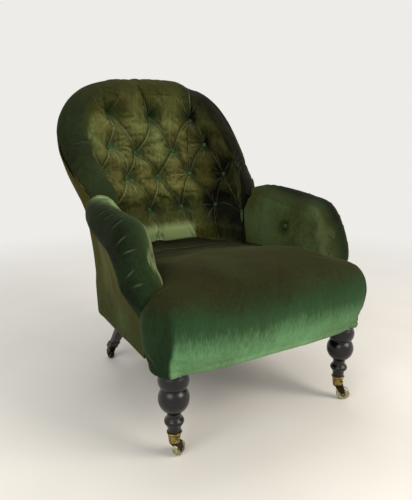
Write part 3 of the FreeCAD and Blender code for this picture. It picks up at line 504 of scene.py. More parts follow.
@dataclass(frozen=True)
class CottonVelvet:
    """Woven cotton velvet. Its pile stands off the ground weave, so it is dark from the front and its sheen
    pales its edges.
    Brush marks and the painted green shift it from olive to emerald; the painted light and pale add painted
    shade and painted highlights."""

    # The dark ends of the olive and green ramps give painted shade and their light ends painted highlights,
    # as the painted light channel picks the tone; pale is the colour of painted highlights.
    olive_dark: str = "0b0a04"
    olive: str = "3a3815"
    olive_light: str = "716c3a"
    green_dark: str = "09130a"
    green: str = "24482c"
    green_light: str = "76b07c"
    pale: str = "a9b284"
    brush_mm: float = 30.0
    fleck_mm: float = 3.4
    pile_mm: float = 1.1
    brush_gain: float = 0.16
    fleck_gain: float = 0.28
    roughness: float = 0.85
    specular: float = 0.08
    sheen: float = 0.11
    sheen_roughness: float = 0.3
    sheen_tint: str = "b5b878"

    def make(self, name: str = "cotton_velvet",
             streak: tuple[float, float, float] = (1, 1, 0.35)) -> bpy.types.Material:
        """Builds the velvet.

        Args:
            name: the material's name.
            streak: how the brush marks stretch along X, Y and Z.

        Returns:
            The material.
        """
        material, tree, shader = new_material(name)
        pile = add_node(tree, "ShaderNodeVertexColor", {"layer_name": "pile"})
        parts = add_node(tree, "ShaderNodeSeparateColor", links={0: (pile, 0)})
        place = add_node(tree, "ShaderNodeTexCoord")
        stretch = add_node(tree, "ShaderNodeMapping", {"Scale": streak}, {"Vector": (place, "Object")})
        brush = cloud(tree, (stretch, 0), self.brush_mm, Detail=5.0, Roughness=0.62, Distortion=0.4)
        fleck = cloud(tree, (stretch, 0), self.fleck_mm, Detail=2.0, Roughness=0.6)
        brushed = add_node(tree, "ShaderNodeMath",
                           {"operation": "MULTIPLY_ADD", 1: self.brush_gain, 2: -self.brush_gain / 2},
                           {0: (brush, 0)})
        flecked = add_node(tree, "ShaderNodeMath",
                           {"operation": "MULTIPLY_ADD", 1: self.fleck_gain, 2: -self.fleck_gain / 2},
                           {0: (fleck, 0)})
        grain = maths(tree, "ADD", {0: (brushed, 0), 1: (flecked, 0)})
        # Painted light and shade from the pile attribute's second channel, with the brush and fleck tone
        # added.
        level = add_node(tree, "ShaderNodeMath", {"operation": "ADD", "use_clamp": True},
                         {0: (parts, 1), 1: (grain, 0)})
        olive = ramp(tree, (level, 0), [(0.0, self.olive_dark), (0.5, self.olive), (1.0, self.olive_light)])
        green = ramp(tree, (level, 0), [(0.0, self.green_dark), (0.5, self.green), (1.0, self.green_light)])
        shift = add_node(tree, "ShaderNodeMath", {"operation": "MULTIPLY_ADD", 1: 0.5, "use_clamp": True},
                         {0: (grain, 0), 2: (parts, 0)})
        colour = add_node(tree, "ShaderNodeMix", {"data_type": "RGBA"},
                          {0: (shift, 0), 6: (olive, 0), 7: (green, 0)})
        # Lays on the pale colour as a painted highlight where the pile attribute's third channel says.
        highlighted = add_node(tree, "ShaderNodeMix", {"data_type": "RGBA", 7: linear(self.pale)},
                         {0: (parts, 2), 6: (colour, 2)})
        tree.links.new(highlighted.outputs[2], shader.inputs["Base Color"])
        pile_bump = cloud(tree, (place, "Object"), self.pile_mm, Detail=2.0)
        height = add_node(tree, "ShaderNodeMath", {"operation": "MULTIPLY_ADD", 1: 0.5},
                          {0: (pile_bump, 0), 2: (fleck, 0)})
        relief(tree, shader, (height, 0), 0.25, 0.6)
        shader.inputs["Roughness"].default_value = self.roughness
        shader.inputs["Specular IOR Level"].default_value = self.specular
        shader.inputs["Sheen Weight"].default_value = self.sheen
        shader.inputs["Sheen Roughness"].default_value = self.sheen_roughness
        shader.inputs["Sheen Tint"].default_value = linear(self.sheen_tint)
        return material


@dataclass(frozen=True)
class PolishedWood:
    """Turned or sawn wood under a finish. Grain runs along its length and stays just visible."""

    name: str
    dark: str
    light: str
    grain_mm: float
    roughness: float
    coat: float
    along: tuple[float, float, float] = (1.0, 1.0, 0.08)
    specular: float = 0.3
    coat_roughness: float = 0.16

    def make(self) -> bpy.types.Material:
        """Builds the wood."""
        material, tree, shader = new_material(self.name)
        place = add_node(tree, "ShaderNodeTexCoord")
        stretch = add_node(tree, "ShaderNodeMapping", {"Scale": self.along}, {"Vector": (place, "Object")})
        grain = cloud(tree, (stretch, 0), self.grain_mm, Detail=6.0, Roughness=0.6, Distortion=0.8)
        worn = cloud(tree, (place, "Object"), 18, Detail=3.0)
        colour = ramp(tree, (grain, 0), [(0.3, self.dark), (0.72, self.light)])
        tree.links.new(colour.outputs[0], shader.inputs["Base Color"])
        rough = add_node(tree, "ShaderNodeMapRange", {3: self.roughness - 0.08, 4: self.roughness + 0.14},
                         {0: (worn, 0)})
        tree.links.new(rough.outputs[0], shader.inputs["Roughness"])
        relief(tree, shader, (grain, 0), 0.12, 0.3)
        shader.inputs["Specular IOR Level"].default_value = self.specular
        shader.inputs["Coat Weight"].default_value = self.coat
        shader.inputs["Coat Roughness"].default_value = self.coat_roughness
        return material


@dataclass(frozen=True)
class AgedMetal:
    """Cast or drawn metal that has dulled. Darker in the pits, brighter where it rubs."""

    name: str
    dark: str
    bright: str
    roughness: float

    def make(self) -> bpy.types.Material:
        """Builds the metal."""
        material, tree, shader = new_material(self.name)
        place = add_node(tree, "ShaderNodeTexCoord")
        stain = cloud(tree, (place, "Object"), 5, Detail=4.0, Roughness=0.65)
        colour = ramp(tree, (stain, 0), [(0.35, self.dark), (0.65, self.bright)])
        tree.links.new(colour.outputs[0], shader.inputs["Base Color"])
        rough = add_node(tree, "ShaderNodeMapRange", {3: self.roughness + 0.15, 4: self.roughness - 0.08},
                         {0: (stain, 0)})
        tree.links.new(rough.outputs[0], shader.inputs["Roughness"])
        relief(tree, shader, (stain, 0), 0.15, 0.2)
        shader.inputs["Metallic"].default_value = 1.0
        return material


@dataclass(frozen=True)
class PlainWeave:
    """Plain woven cloth: hessian, jute webbing or black lining. Threads cross at a real spacing."""

    name: str
    dark: str
    light: str
    thread_mm: float
    roughness: float = 0.9
    specular: float = 0.2

    def make(self) -> bpy.types.Material:
        """Builds the cloth."""
        material, tree, shader = new_material(self.name)
        place = add_node(tree, "ShaderNodeTexCoord")
        scale = math.pi / (self.thread_mm * MM)
        turns = add_node(tree, "ShaderNodeMapping", {"Scale": (scale, scale, scale)},
                         {"Vector": (place, "Object")})
        axes = add_node(tree, "ShaderNodeSeparateXYZ", links={0: (turns, 0)})
        warp = maths(tree, "SINE", {0: (axes, 0)})
        weft = maths(tree, "SINE", {0: (axes, 1)})
        rise = maths(tree, "SINE", {0: (axes, 2)})
        flat = maths(tree, "MULTIPLY", {0: (warp, 0), 1: (weft, 0)})
        weave = maths(tree, "ADD", {0: (flat, 0), 1: (rise, 0)})
        uneven = cloud(tree, (place, "Object"), 9, Detail=4.0)
        mixed = add_node(tree, "ShaderNodeMath", {"operation": "MULTIPLY_ADD", 1: 0.25},
                         {0: (weave, 0), 2: (uneven, 0)})
        colour = ramp(tree, (mixed, 0), [(0.2, self.dark), (0.85, self.light)])
        tree.links.new(colour.outputs[0], shader.inputs["Base Color"])
        relief(tree, shader, (weave, 0), 0.4, 0.4)
        shader.inputs["Roughness"].default_value = self.roughness
        shader.inputs["Specular IOR Level"].default_value = self.specular
        return material


# Ebonised beech: black stain under shellac, with soft bluish glints on the turned beads
EBONISED_BEECH = PolishedWood("ebonised_beech", "020203", "08070a", 4.0, 0.30, 0.2)
# Waxed mahogany: deep red brown with straight grain
WAXED_MAHOGANY = PolishedWood("waxed_mahogany", "0d0504", "280d07", 3.0, 0.42, 0.08)
# Sawn beech of the hidden frame: pale and dry
SAWN_BEECH = PolishedWood("sawn_beech", "8a6a45", "c29a6b", 5.0, 0.7, 0.0, (1.0, 0.12, 1.0))
# Aged cast brass: brown in the hollows, yellow where it rubs
AGED_BRASS = AgedMetal("aged_brass", "54431f", "b09a55", 0.36)
# Dulled steel of pins and screws
DULL_STEEL = AgedMetal("dull_steel", "3b3936", "8f8b84", 0.42)
# Horns and rear cups of cast brass gone nearly black with age
BLACKENED_BRASS = AgedMetal("blackened_brass", "15120d", "3a3122", 0.40)
# Wheels of cast brass, pale partly from rubbing on the floor and partly as a painted highlight
RUBBED_HIGHLIT_BRASS = AgedMetal("rubbed_brass", "6f6a52", "c3bf9c", 0.32)
# Copper washed spring wire
SPRING_STEEL = AgedMetal("coppered_steel_wire", "6b4a38", "a3826c", 0.4)
# Hessian over the springs and the back, drawn coarse enough to show
HESSIAN = PlainWeave("jute_hessian", "6b5233", "b39467", 2.4)
# Jute webbing, herringbone in life, plain here because it is hidden
WEBBING = PlainWeave("jute_webbing", "7a5f3c", "bfa070", 3.5)
# Black cotton lining tacked under the seat
LINING = PlainWeave("black_cotton_lining", "0c0c0c", "232323", 1.6)


# ---------------------------------------------------------------- the chair's lines


@dataclass(frozen=True)
class BackLines:
    """The arch along the top of the back, the seat line below it, and the planes between them."""

    crest_half_width: float = 274 * MM
    crest_height: float = 787 * MM
    crest_y: float = 333.5 * MM
    crest_rise: float = 252 * MM
    sweep_back: float = 198 * MM
    crest_squareness: float = 3.2
    sweep_power: float = 1.6
    narrowing: float = 0.135
    spread_power: float = 1.15
    roll_radius: float = 45 * MM
    end_pinch: float = 0.2
    pinch_power: float = 8.0
    seat_height: float = 360 * MM
    seat_half_width: float = 212 * MM
    seat_depth: float = 165 * MM
    seat_squareness: float = 2.5
    centre_y: float = 46.5 * MM
    outer_half_width: float = 262 * MM
    outer_depth: float = 175 * MM
    outer_squareness: float = 2.6
    hem_height: float = 203 * MM
    pitch: float = 107 * MM
    last_column: float = 2.5

    def crest(self, column: Array) -> Array:
        """Places on the centre line of the roll.

        Args:
            column: button columns, 0 in the middle.

        Returns:
            An (n, 3) array.
        """
        share = np.minimum(np.abs(column) / self.last_column, 1)
        angle = math.pi / 2 * share ** self.spread_power
        across, rise = superellipse(angle, self.crest_squareness)
        fall = np.clip(1 - rise, 0, 1)
        x = self.crest_half_width * across * (1 - self.narrowing * fall ** 2) * np.sign(column)
        y = self.crest_y - self.sweep_back * fall ** self.sweep_power
        return np.stack([x, y, self.crest_height - self.crest_rise * fall], 1)

    def seat_angle(self, column: Array) -> Array:
        """The angle round the seat line at each column."""
        angles = np.linspace(0, math.pi / 2, 800)
        across, along = superellipse(angles, self.seat_squareness)
        line = np.stack([across * self.seat_half_width, along * self.seat_depth], 1)
        walked = walked_along(line)
        return np.interp(np.abs(column) * self.pitch, walked, angles) * np.sign(column)

    def plan(self, angle: Array, half_width: float, depth: float, squareness: float, height: float) -> Array:
        """Places on a level line round the back."""
        across, along = superellipse(angle, squareness)
        return np.stack([half_width * across, self.centre_y + depth * along, np.full(len(angle), height)], 1)

    def stations(self, column: Array) -> dict[str, Array]:
        """The upright planes of the back.

        Args:
            column: button columns.

        Returns:
            Feet, up and outward directions, lengths, roll radii and hem places.
        """
        column = np.asarray(column, float)
        angle = self.seat_angle(column)
        foot = self.plan(angle, self.seat_half_width, self.seat_depth, self.seat_squareness, self.seat_height)
        hem = self.plan(angle, self.outer_half_width, self.outer_depth, self.outer_squareness,
                        self.hem_height)
        up = self.crest(column) - foot
        length = lengths(up)
        up = up / length[:, None]
        reach = hem - foot
        out = reach - up * np.sum(reach * up, 1)[:, None]
        out = out / lengths(out)[:, None]
        radius = self.roll_radius * (1 - self.end_pinch
                                     * (np.abs(column) / self.last_column) ** self.pinch_power)
        return {"foot": foot, "up": up, "out": out, "length": length, "radius": radius, "hem": hem}


BACK = BackLines()


@dataclass(frozen=True)
class Tufting:
    """Where the buttons sit and where the pleats run, as columns and heights of the back.

    Buttons are numbered as they are listed: the top row first, each row from the left. Paths over one
    in height run on round the roll.
    """

    spots: tuple[tuple[float, float], ...] = (
        (-0.90, 0.87), (-0.03, 0.84), (0.92, 0.85),
        (-1.02, 0.67), (-0.50, 0.60), (0.48, 0.61), (1.19, 0.70),
        (-1.36, 0.54), (-0.80, 0.44), (-0.02, 0.43), (0.83, 0.45), (1.68, 0.57),
        (-1.42, 0.25), (-0.38, 0.20), (0.54, 0.21), (1.46, 0.25),
        (-2.5, 0.35), (2.5, 0.335))
    joined: tuple[tuple[int, int, float], ...] = (
        (0, 4, 12), (0, 3, 9), (1, 4, 12), (1, 5, 12), (2, 5, 9), (2, 10, 9), (2, 6, 8),
        (3, 7, 10), (3, 8, 9), (4, 8, 12), (4, 9, 13), (5, 9, 12), (5, 10, 13), (6, 10, 11),
        (6, 11, 9), (7, 8, 7), (7, 12, 9), (8, 12, 9), (8, 13, 10), (9, 13, 11), (9, 14, 13),
        (9, 10, 5), (10, 14, 11), (10, 15, 11), (11, 15, 11), (11, 17, 8), (15, 17, 6),
        (12, 16, 6), (7, 16, 7))
    running: tuple[tuple[float, tuple[tuple[float, float], ...]], ...] = (
        (7.0, ((-0.90, 0.91), (-1.08, 0.98), (-1.09, 1.10), (-1.10, 1.22))),
        (5.0, ((-0.90, 0.91), (-1.20, 0.98), (-1.26, 1.12), (-1.32, 1.25))),
        (8.0, ((-0.03, 0.88), (-0.22, 0.95), (-0.36, 1.04), (-0.46, 1.22))),
        (4.0, ((-0.03, 0.88), (-0.10, 0.96), (-0.16, 1.05), (-0.18, 1.12))),
        (8.0, ((0.92, 0.91), (0.98, 0.97), (0.98, 1.10), (1.00, 1.28))),
        (3.5, ((0.92, 0.91), (1.08, 0.97), (1.14, 1.08))),
        (9.0, ((-1.36, 0.63), (-1.70, 0.87), (-1.95, 1.05), (-2.10, 1.25), (-2.15, 1.40))),
        (9.0, ((1.68, 0.67), (2.00, 0.87), (2.28, 1.02), (2.42, 1.22), (2.44, 1.40))),
        (5.0, ((-0.38, 0.33), (-0.40, 0.22), (-0.54, 0.08), (-0.58, -0.01))),
        (4.0, ((-0.38, 0.33), (-0.28, 0.21), (-0.36, 0.08), (-0.40, -0.01))),
        (3.0, ((-0.38, 0.33), (-0.52, 0.23), (-0.70, 0.12))),
        (6.0, ((0.54, 0.34), (0.82, 0.22), (1.18, 0.08), (1.22, -0.01))),
        (3.0, ((0.66, 0.21), (0.77, 0.10), (0.78, -0.01))),
        (7.0, ((1.46, 0.37), (1.56, 0.22), (1.63, 0.08), (1.64, -0.01))),
        (6.0, ((-1.42, 0.37), (-1.42, 0.17), (-1.42, -0.01))),
        (7.0, ((2.5, 0.50), (2.5, 0.26), (2.5, -0.01))),
        (7.0, ((-2.5, 0.52), (-2.5, 0.26), (-2.5, -0.01))))
    end_leans: tuple[float, ...] = (0.02, 0.07, 0.13, 0.20)

    def pleats(self) -> list[tuple[float, bool, list[tuple[float, float]]]]:
        """Each pleat: its depth in millimetres, whether it joins two buttons, and its corners, top first."""
        found = []
        for first, second, deep in self.joined:
            found.append((float(deep), True, [self.spots[first], self.spots[second]]))
        for deep, path in self.running:
            found.append((deep, False, list(path)))
        for side, button in ((-1, 16), (1, 17)):
            column, share = self.spots[button]
            for index, lean in enumerate(self.end_leans):
                top = side * (BACK.last_column - lean)
                path = [(column, 0.92 * share + 0.2), (column - side * lean * 1.25, 0.82),
                        (top - side * lean * 0.5, 1.05), (top, 1.38)]
                found.append((6.0 - index * 0.6, False, path))
        return found


TUFTS = Tufting()


# ---------------------------------------------------------------- the upholstered back


@dataclass
class ButtonedBack:
    """The inside of the back: a deep buttoned cover that runs on over the roll."""

    columns: int = 620
    rows: int = 380
    roll_rows: int = 100
    button_bed: float = 10.4 * MM
    flat_out: float = -27 * MM
    start_degrees: float = 200.0
    seam_degrees: float = 13.0
    rise_into_roll: float = 120 * MM
    pit_reach: float = 21 * MM
    pleat_reach: float = 11 * MM
    lowest: float = -85 * MM
    tail: float = 72 * MM

    def profile(self, st: dict[str, Array], height: Array) -> tuple[Array, Array, Array, Array]:
        """Where the full stuffing would lie with no button pulled in.

        Args:
            st: stations, one per point.
            height: share of the height. Over one it runs round the roll.

        Returns:
            Out, up, and the outward direction's two parts in the station's plane.
        """
        length, radius = st["length"], st["radius"]
        start = math.radians(self.start_degrees)
        joint = length + radius * math.sin(start)
        up = np.where(height < 1, self.lowest + (joint - self.lowest) * height, 0)
        ease = smooth_step((joint - up) / self.rise_into_roll, 0, 1)
        out_front = radius * math.cos(start) * (1 - ease) + self.flat_out * ease
        out_front = out_front + 12 * MM * smooth_step(-up, -25 * MM, 20 * MM)
        turn = start - (height - 1) / 0.5 * (start - math.radians(self.seam_degrees))
        front = height < 1
        out = np.where(front, out_front, radius * np.cos(turn))
        up = np.where(front, up, length + radius * np.sin(turn))
        normal_out = np.where(front, -1.0, np.cos(turn))
        normal_up = np.where(front, 0.0, np.sin(turn))
        blend = smooth_step(height, 0.80, 1.0) * front
        normal_out = normal_out * (1 - blend) + math.cos(start) * blend
        normal_up = normal_up * (1 - blend) + math.sin(start) * blend
        size = np.hypot(normal_out, normal_up)
        return out, up, normal_out / size, normal_up / size

    def place(self, column: Array, height: Array) -> tuple[Array, Array]:
        """Places and outward directions of the full stuffing at columns and heights."""
        st = BACK.stations(column)
        out, up, n_out, n_up = self.profile(st, height)
        place = st["foot"] + st["out"] * out[:, None] + st["up"] * up[:, None]
        normal = st["out"] * n_out[:, None] + st["up"] * n_up[:, None]
        return place, normal

    def share_of(self, column: float, share: float) -> float:
        """A share of the station's height as a height of the cover."""
        st = BACK.stations(np.array([column]))
        length, radius = float(st["length"][0]), float(st["radius"][0])
        joint = length + radius * math.sin(math.radians(self.start_degrees))
        return (share * length - self.lowest) / (joint - self.lowest)

    def beds(self) -> tuple[Array, Array, Array]:
        """Where each button is pulled to.

        Returns:
            The full stuffing's places above the buttons, the beds' places, and the ways that they face.
        """
        above, beds, facings = [], [], []
        for column, share in TUFTS.spots:
            top, _ = self.place(np.array([column]), np.array([self.share_of(column, share)]))
            st = BACK.stations(np.array([column]))
            bed = st["foot"] + st["out"] * self.button_bed + st["up"] * (share * st["length"])
            above.append(top[0])
            beds.append(bed[0])
            facings.append(-st["out"][0])
        return np.array(above), np.array(beds), np.array(facings)

    def pleat_lines(self) -> list[tuple[Array, float, bool]]:
        """Each pleat as a line on the full stuffing, its depth, and whether it joins two buttons."""
        lines = []
        rng = np.random.default_rng(3)
        for deep, joins, corners in TUFTS.pleats():
            if joins:
                corners = [(c, self.share_of(c, h)) for c, h in corners]
                steps = np.linspace(0, 1, 9)[:, None]
                path = np.array(corners[0]) + (np.array(corners[1]) - np.array(corners[0])) * steps
                path[:, 0] += rng.uniform(-0.05, 0.05) * np.sin(math.pi * steps[:, 0])
            else:
                path = curve_through(np.array(corners), 12)
            place, _ = self.place(np.clip(path[:, 0], -BACK.last_column, BACK.last_column), path[:, 1])
            lines.append((place, deep * MM, joins))
        return lines

    def small_folds(self) -> list[tuple[Array, float]]:
        """Short folds that fan out above and below each button, as lines of places and depths."""
        rng = np.random.default_rng(11)
        folds = []
        for column, share in TUFTS.spots:
            height = self.share_of(column, share)
            for index in range(15):
                if index % 5 == 4:
                    angle = rng.uniform(0, 2 * math.pi)
                else:
                    angle = math.pi / 2 * (1 if index % 2 else -1) + rng.normal(0, 0.5)
                reach = rng.uniform(20, 52) * MM
                bend = rng.uniform(-0.25, 0.25)
                steps = np.linspace(0.12, 1, 6)
                way = angle + bend * steps
                columns = np.clip(column + np.cos(way) * reach * steps / BACK.pitch,
                                  -BACK.last_column, BACK.last_column)
                place, _ = self.place(columns, height + np.sin(way) * reach * steps / 0.42)
                folds.append((place, rng.uniform(0.9, 2.4) * MM))
        return folds

    def nearest_on(self, place: Array, normal: Array, line: Array) -> tuple[Array, Array, Array]:
        """Distance to a line, how far along it from 0 to 1, and which side of it, for each place."""
        best = np.full(len(place), FAR)
        share, side = np.zeros(len(place)), np.zeros(len(place))
        for i in range(len(line) - 1):
            run = line[i + 1] - line[i]
            t = np.clip((place - line[i]) @ run / (run @ run), 0, 1)
            gap = place - line[i] - t[:, None] * run
            away = lengths(gap)
            closer = away < best
            turned = np.sum(np.cross(run, gap) * normal, axis=1)
            best = np.where(closer, away, best)
            share = np.where(closer, (i + t) / (len(line) - 1), share)
            side = np.where(closer, np.sign(turned), side)
        return best, share, side

    def tufted(self, column: Array, height: Array) -> tuple[Array, dict[str, Array]]:
        """The tufted cover.

        Args:
            column: each point's column.
            height: each point's height.

        Returns:
            Places, and how much each is in a pit, a valley, on a fold's lit edge or by a button, from 0 to 1.
        """
        place, normal = self.place(column, height)
        above, beds, _ = self.beds()
        n = len(place)
        pits = np.zeros(n)
        away_button = np.full(n, FAR)
        for top, bed in zip(above, beds):
            away = lengths(place - top)
            away_button = np.minimum(away_button, away)
            deep = np.linalg.norm(bed - top)
            pits += (deep * np.exp(-np.maximum(away - 3.0 * MM, 0) / self.pit_reach)) ** 3
        pits = np.cbrt(pits)
        near_button = bell(away_button, 13 * MM)
        fades = 1 - np.exp(-away_button / (14 * MM))
        valley, crease, lit = np.zeros(n), np.zeros(n), np.zeros(n)
        for line, depth, joins in self.pleat_lines():
            some = self.within(place, line, 55 * MM)
            away, along, side = self.nearest_on(place[some], normal[some], line)
            fade = 1.0 if joins else 1 - smooth_step(along, 0.42, 0.95)
            reach = self.pleat_reach * (1.0 if joins else 0.7)
            valley[some] = np.maximum(valley[some], depth * np.exp(-away / reach) * fade)
            slot = 2.6 * MM * bell(away + side * 1.2 * MM, 2.2 * MM)
            lip = 1.1 * MM * bell(away - 2.8 * MM, 1.8 * MM) * (side > 0)
            crease[some] += (slot - lip) * fade * min(1.0, depth / (9 * MM))
            edge = bell(away - 1.8 * MM, 1.1 * MM) * (side > 0)
            lit[some] = np.maximum(lit[some], edge * fade * min(1.0, depth / (9 * MM)))
        for line, depth in self.small_folds():
            some = self.within(place, line, 14 * MM)
            away, along, side = self.nearest_on(place[some], normal[some], line)
            swell = np.sin(math.pi * np.clip(along, 0, 1)) ** 0.7
            crease[some] += depth * bell(away, 2.4 * MM) * swell
            edge = bell(away - 1.6 * MM, 1.4 * MM) * (side > 0) * swell * depth / (2.4 * MM)
            lit[some] = np.maximum(lit[some], 0.55 * edge)
        lumps = 2.0 * MM * lattice_noise(place, 60 * MM, 5) + 0.6 * MM * lattice_noise(place, 20 * MM, 6)
        from_ends = 0.35 + 0.65 * smooth_step(BACK.last_column - np.abs(column), 0.0, 0.05)
        shift = lumps * (1 - near_button) - pits - (valley + crease) * fades
        marks = {"pit": pits / (37 * MM), "valley": valley * fades / (13 * MM), "lit": lit * fades,
                 "button": near_button}
        return place + normal * (shift * from_ends)[:, None], marks

    def within(self, place: Array, line: Array, reach: float) -> Array:
        """Which places lie in the box round a line, with room to spare."""
        return np.all((place > line.min(0) - reach) & (place < line.max(0) + reach), axis=1)

    def tails(self, grid: Array, st: dict[str, Array], columns: Array, height: Array) -> list[Array]:
        """Runs each end of the roll on down into the arm, drawn in to a point.

        Args:
            grid: the rims' places, rows by columns.
            st: the stations; not used.
            columns: the columns of the stations.
            height: each rim place's height.

        Returns:
            Two (rows, steps, 3) arrays, for the left and the right end.
        """
        made = []
        for index, inner in ((0, 1), (-1, -2)):
            rim = grid[:, index]
            crest = BACK.crest(np.array([columns[index], columns[inner] * 0.5 + columns[index] * 0.5]))
            way = (crest[0] - crest[1]) / np.linalg.norm(crest[0] - crest[1])
            rolls = smooth_step(height, 0.86, 1.0)[:, None]
            middle = rim[:-1].mean(0) * (1 - rolls) + crest[0] * rolls
            steps = []
            for share, drawn in ((0.2, -0.03), (0.4, -0.05), (0.6, -0.02), (0.8, 0.14), (0.93, 0.42),
                                 (1.0, 1.0)):
                close = drawn * rolls + min(1.0, share * 1.2) * (1 - rolls)
                steps.append(rim + (middle - rim) * close + way * (self.tail * share * rolls))
            made.append(np.stack(steps, 1))
        return made

    def build(self) -> bpy.types.Object:
        """Makes the tufted piece, closed at the back and at both ends."""
        c = np.linspace(-BACK.last_column, BACK.last_column, self.columns)
        h = np.r_[np.linspace(0, 1, self.rows - self.roll_rows, endpoint=False),
                  np.linspace(1, 1.5, self.roll_rows)]
        hh, cc = np.meshgrid(h, c, indexing="ij")
        place, marks = self.tufted(cc.ravel(), hh.ravel())
        face = place.reshape(len(h), len(c), 3) + self.swollen(h, c)
        st = BACK.stations(c)
        rear_out = 18 * MM
        seam = st["length"] + st["radius"] * math.sin(math.radians(self.seam_degrees))
        ring = []
        for up in (seam, seam * 0.5, np.full(len(c), self.lowest)):
            ring.append(st["foot"] + st["out"] * rear_out + st["up"] * up[:, None])
        grid = np.concatenate([face, np.stack(ring), face[:1]])
        rim_height = np.r_[h, 1.0, 0.5, 0.0, 0.0]
        left, right = self.tails(grid, st, c, rim_height)
        grid = np.concatenate([left[:, ::-1], grid, right], axis=1)
        piece = make_object("buttoned_back", grid.reshape(-1, 3), grid_faces(grid.shape[0], grid.shape[1]))
        ends = left.shape[1]
        spread = {}
        for name, values in (marks | {"height": hh.ravel(), "column": cc.ravel()}).items():
            full = np.zeros(grid.shape[:2])
            full[:len(h), ends:-ends] = values.reshape(len(h), len(c))
            full[:len(h), :ends] = full[:len(h), ends:ends + 1]
            full[:len(h), -ends:] = full[:len(h), -ends - 1:-ends]
            spread[name] = full.ravel()
        self.colour(piece, spread)
        welded(piece, 0.02 * MM)
        return piece

    def swollen(self, heights: Array, columns: Array) -> Array:
        """How far the stuffing pushes each point of the cover out, from a cloth simulation on a coarse grid.

        Args:
            heights: the cover's rows.
            columns: the cover's columns.

        Returns:
            A (rows, columns, 3) array of moves.
        """
        h, c = np.linspace(0, 1.5, 100), np.linspace(-BACK.last_column, BACK.last_column, 190)
        hh, cc = np.meshgrid(h, c, indexing="ij")
        place, marks = self.tufted(cc.ravel(), hh.ravel())
        trial = make_object("cover_trial", place, grid_faces(len(h), len(c)))
        rim = (hh < 0.01) | (hh > 1.47) | (np.abs(cc) > 2.48)
        held = (rim.ravel() * 1.0 + marks["button"] ** 0.5 * 1.4 + 0.5 * marks["lit"]
                + 0.35 * marks["valley"])
        moved = simulated(trial, np.clip(held, 0, 1), pressure=3.2, shrink=-0.035, frames=16)
        bpy.data.objects.remove(trial)
        moves = capped(moved - place, 6 * MM).reshape(len(h), len(c), 3)
        moves = resampled(moves, heights / h[-1] * (len(h) - 1))
        across = resampled(moves.transpose(1, 0, 2), (columns - c[0]) / (c[-1] - c[0]) * (len(c) - 1))
        return across.transpose(1, 0, 2)

    def colour(self, piece: bpy.types.Object, marks: dict[str, Array]) -> None:
        """Paints the pile: olive puffs with painted shade in the pits and valleys and on the right, darker on
        the roll and low down, painted highlights on fold edges, round the buttons and on upward faces, and a
        light patch low in the middle.

        Args:
            piece: the back.
            marks: the values from tufted, with each point's height and column.
        """
        face, normals = points_of(piece), normals_of(piece)
        left = smooth_step(-face[:, 0], 0.12, 0.26)
        right = smooth_step(face[:, 0], 0.07, 0.20)
        x, z = face[:, 0], face[:, 2]
        low = smooth_step(-z, -0.418, -0.384)
        patch = low * smooth_step(-x, -0.093, -0.080) * smooth_step(x, -0.13, -0.05)
        roll = smooth_step(marks["height"], 0.84, 1.16)
        end = smooth_step(np.abs(marks["column"]), 2.2, BACK.last_column) * roll
        pit = np.clip(marks["pit"], 0, 1)
        streaks = lattice_noise(face * (1, 1, 0.10), 6 * MM, 23)
        # Greener round the buttons and on the lit fold edges as a painted tint of light, and greener in the
        # low patch and on the left of the roll.
        green = 0.08 + 0.66 * marks["button"] + 0.16 * marks["lit"] + 0.24 * patch + 0.30 * left * roll
        # Painted shade in the pits and pleat valleys and on the right side; darker on the roll.
        light = (0.76 - 0.50 * pit - 0.22 * np.clip(marks["valley"], 0, 1) - 0.46 * roll
                 - 0.48 * right * (1 - roll))
        # Darker lower down on the back.
        light -= 0.26 * smooth_step(-z, -0.53, -0.44) * (1 - low) * (1 - roll)
        # Lighter in the patch, darker low down beside it, and a painted highlight on faces that turn upward.
        light += 0.26 * patch - 0.14 * low * (1 - patch) + 0.10 * np.clip(normals[:, 2], -1, 1) * (1 - roll)
        # Random tone; darker on the left of the roll, and painted shade on the right of the roll.
        light += 0.07 * lattice_noise(face, 80 * MM, 21) - 0.16 * left * roll - 0.30 * right * roll
        # Vertical streaks, painted highlights on the lit fold edges and round the buttons, and a painted
        # highlight at the roll's left end where it meets the arm.
        light += (0.08 * streaks * (1 - 0.6 * roll) + 0.20 * marks["lit"] + 0.24 * marks["button"]
                  + 0.12 * left * end)
        green += 0.12 * lattice_noise(face, 110 * MM, 22)
        # The pale channel: painted highlights on the lit fold edges, and paler in the low patch.
        paint(piece, green, light, 0.22 * marks["lit"] + 0.16 * patch)


# ---------------------------------------------------------------- arms


class Side(Enum):
    """Which side of the chair, as seen from the front. The value is the sign of X."""

    LEFT = -1
    RIGHT = 1


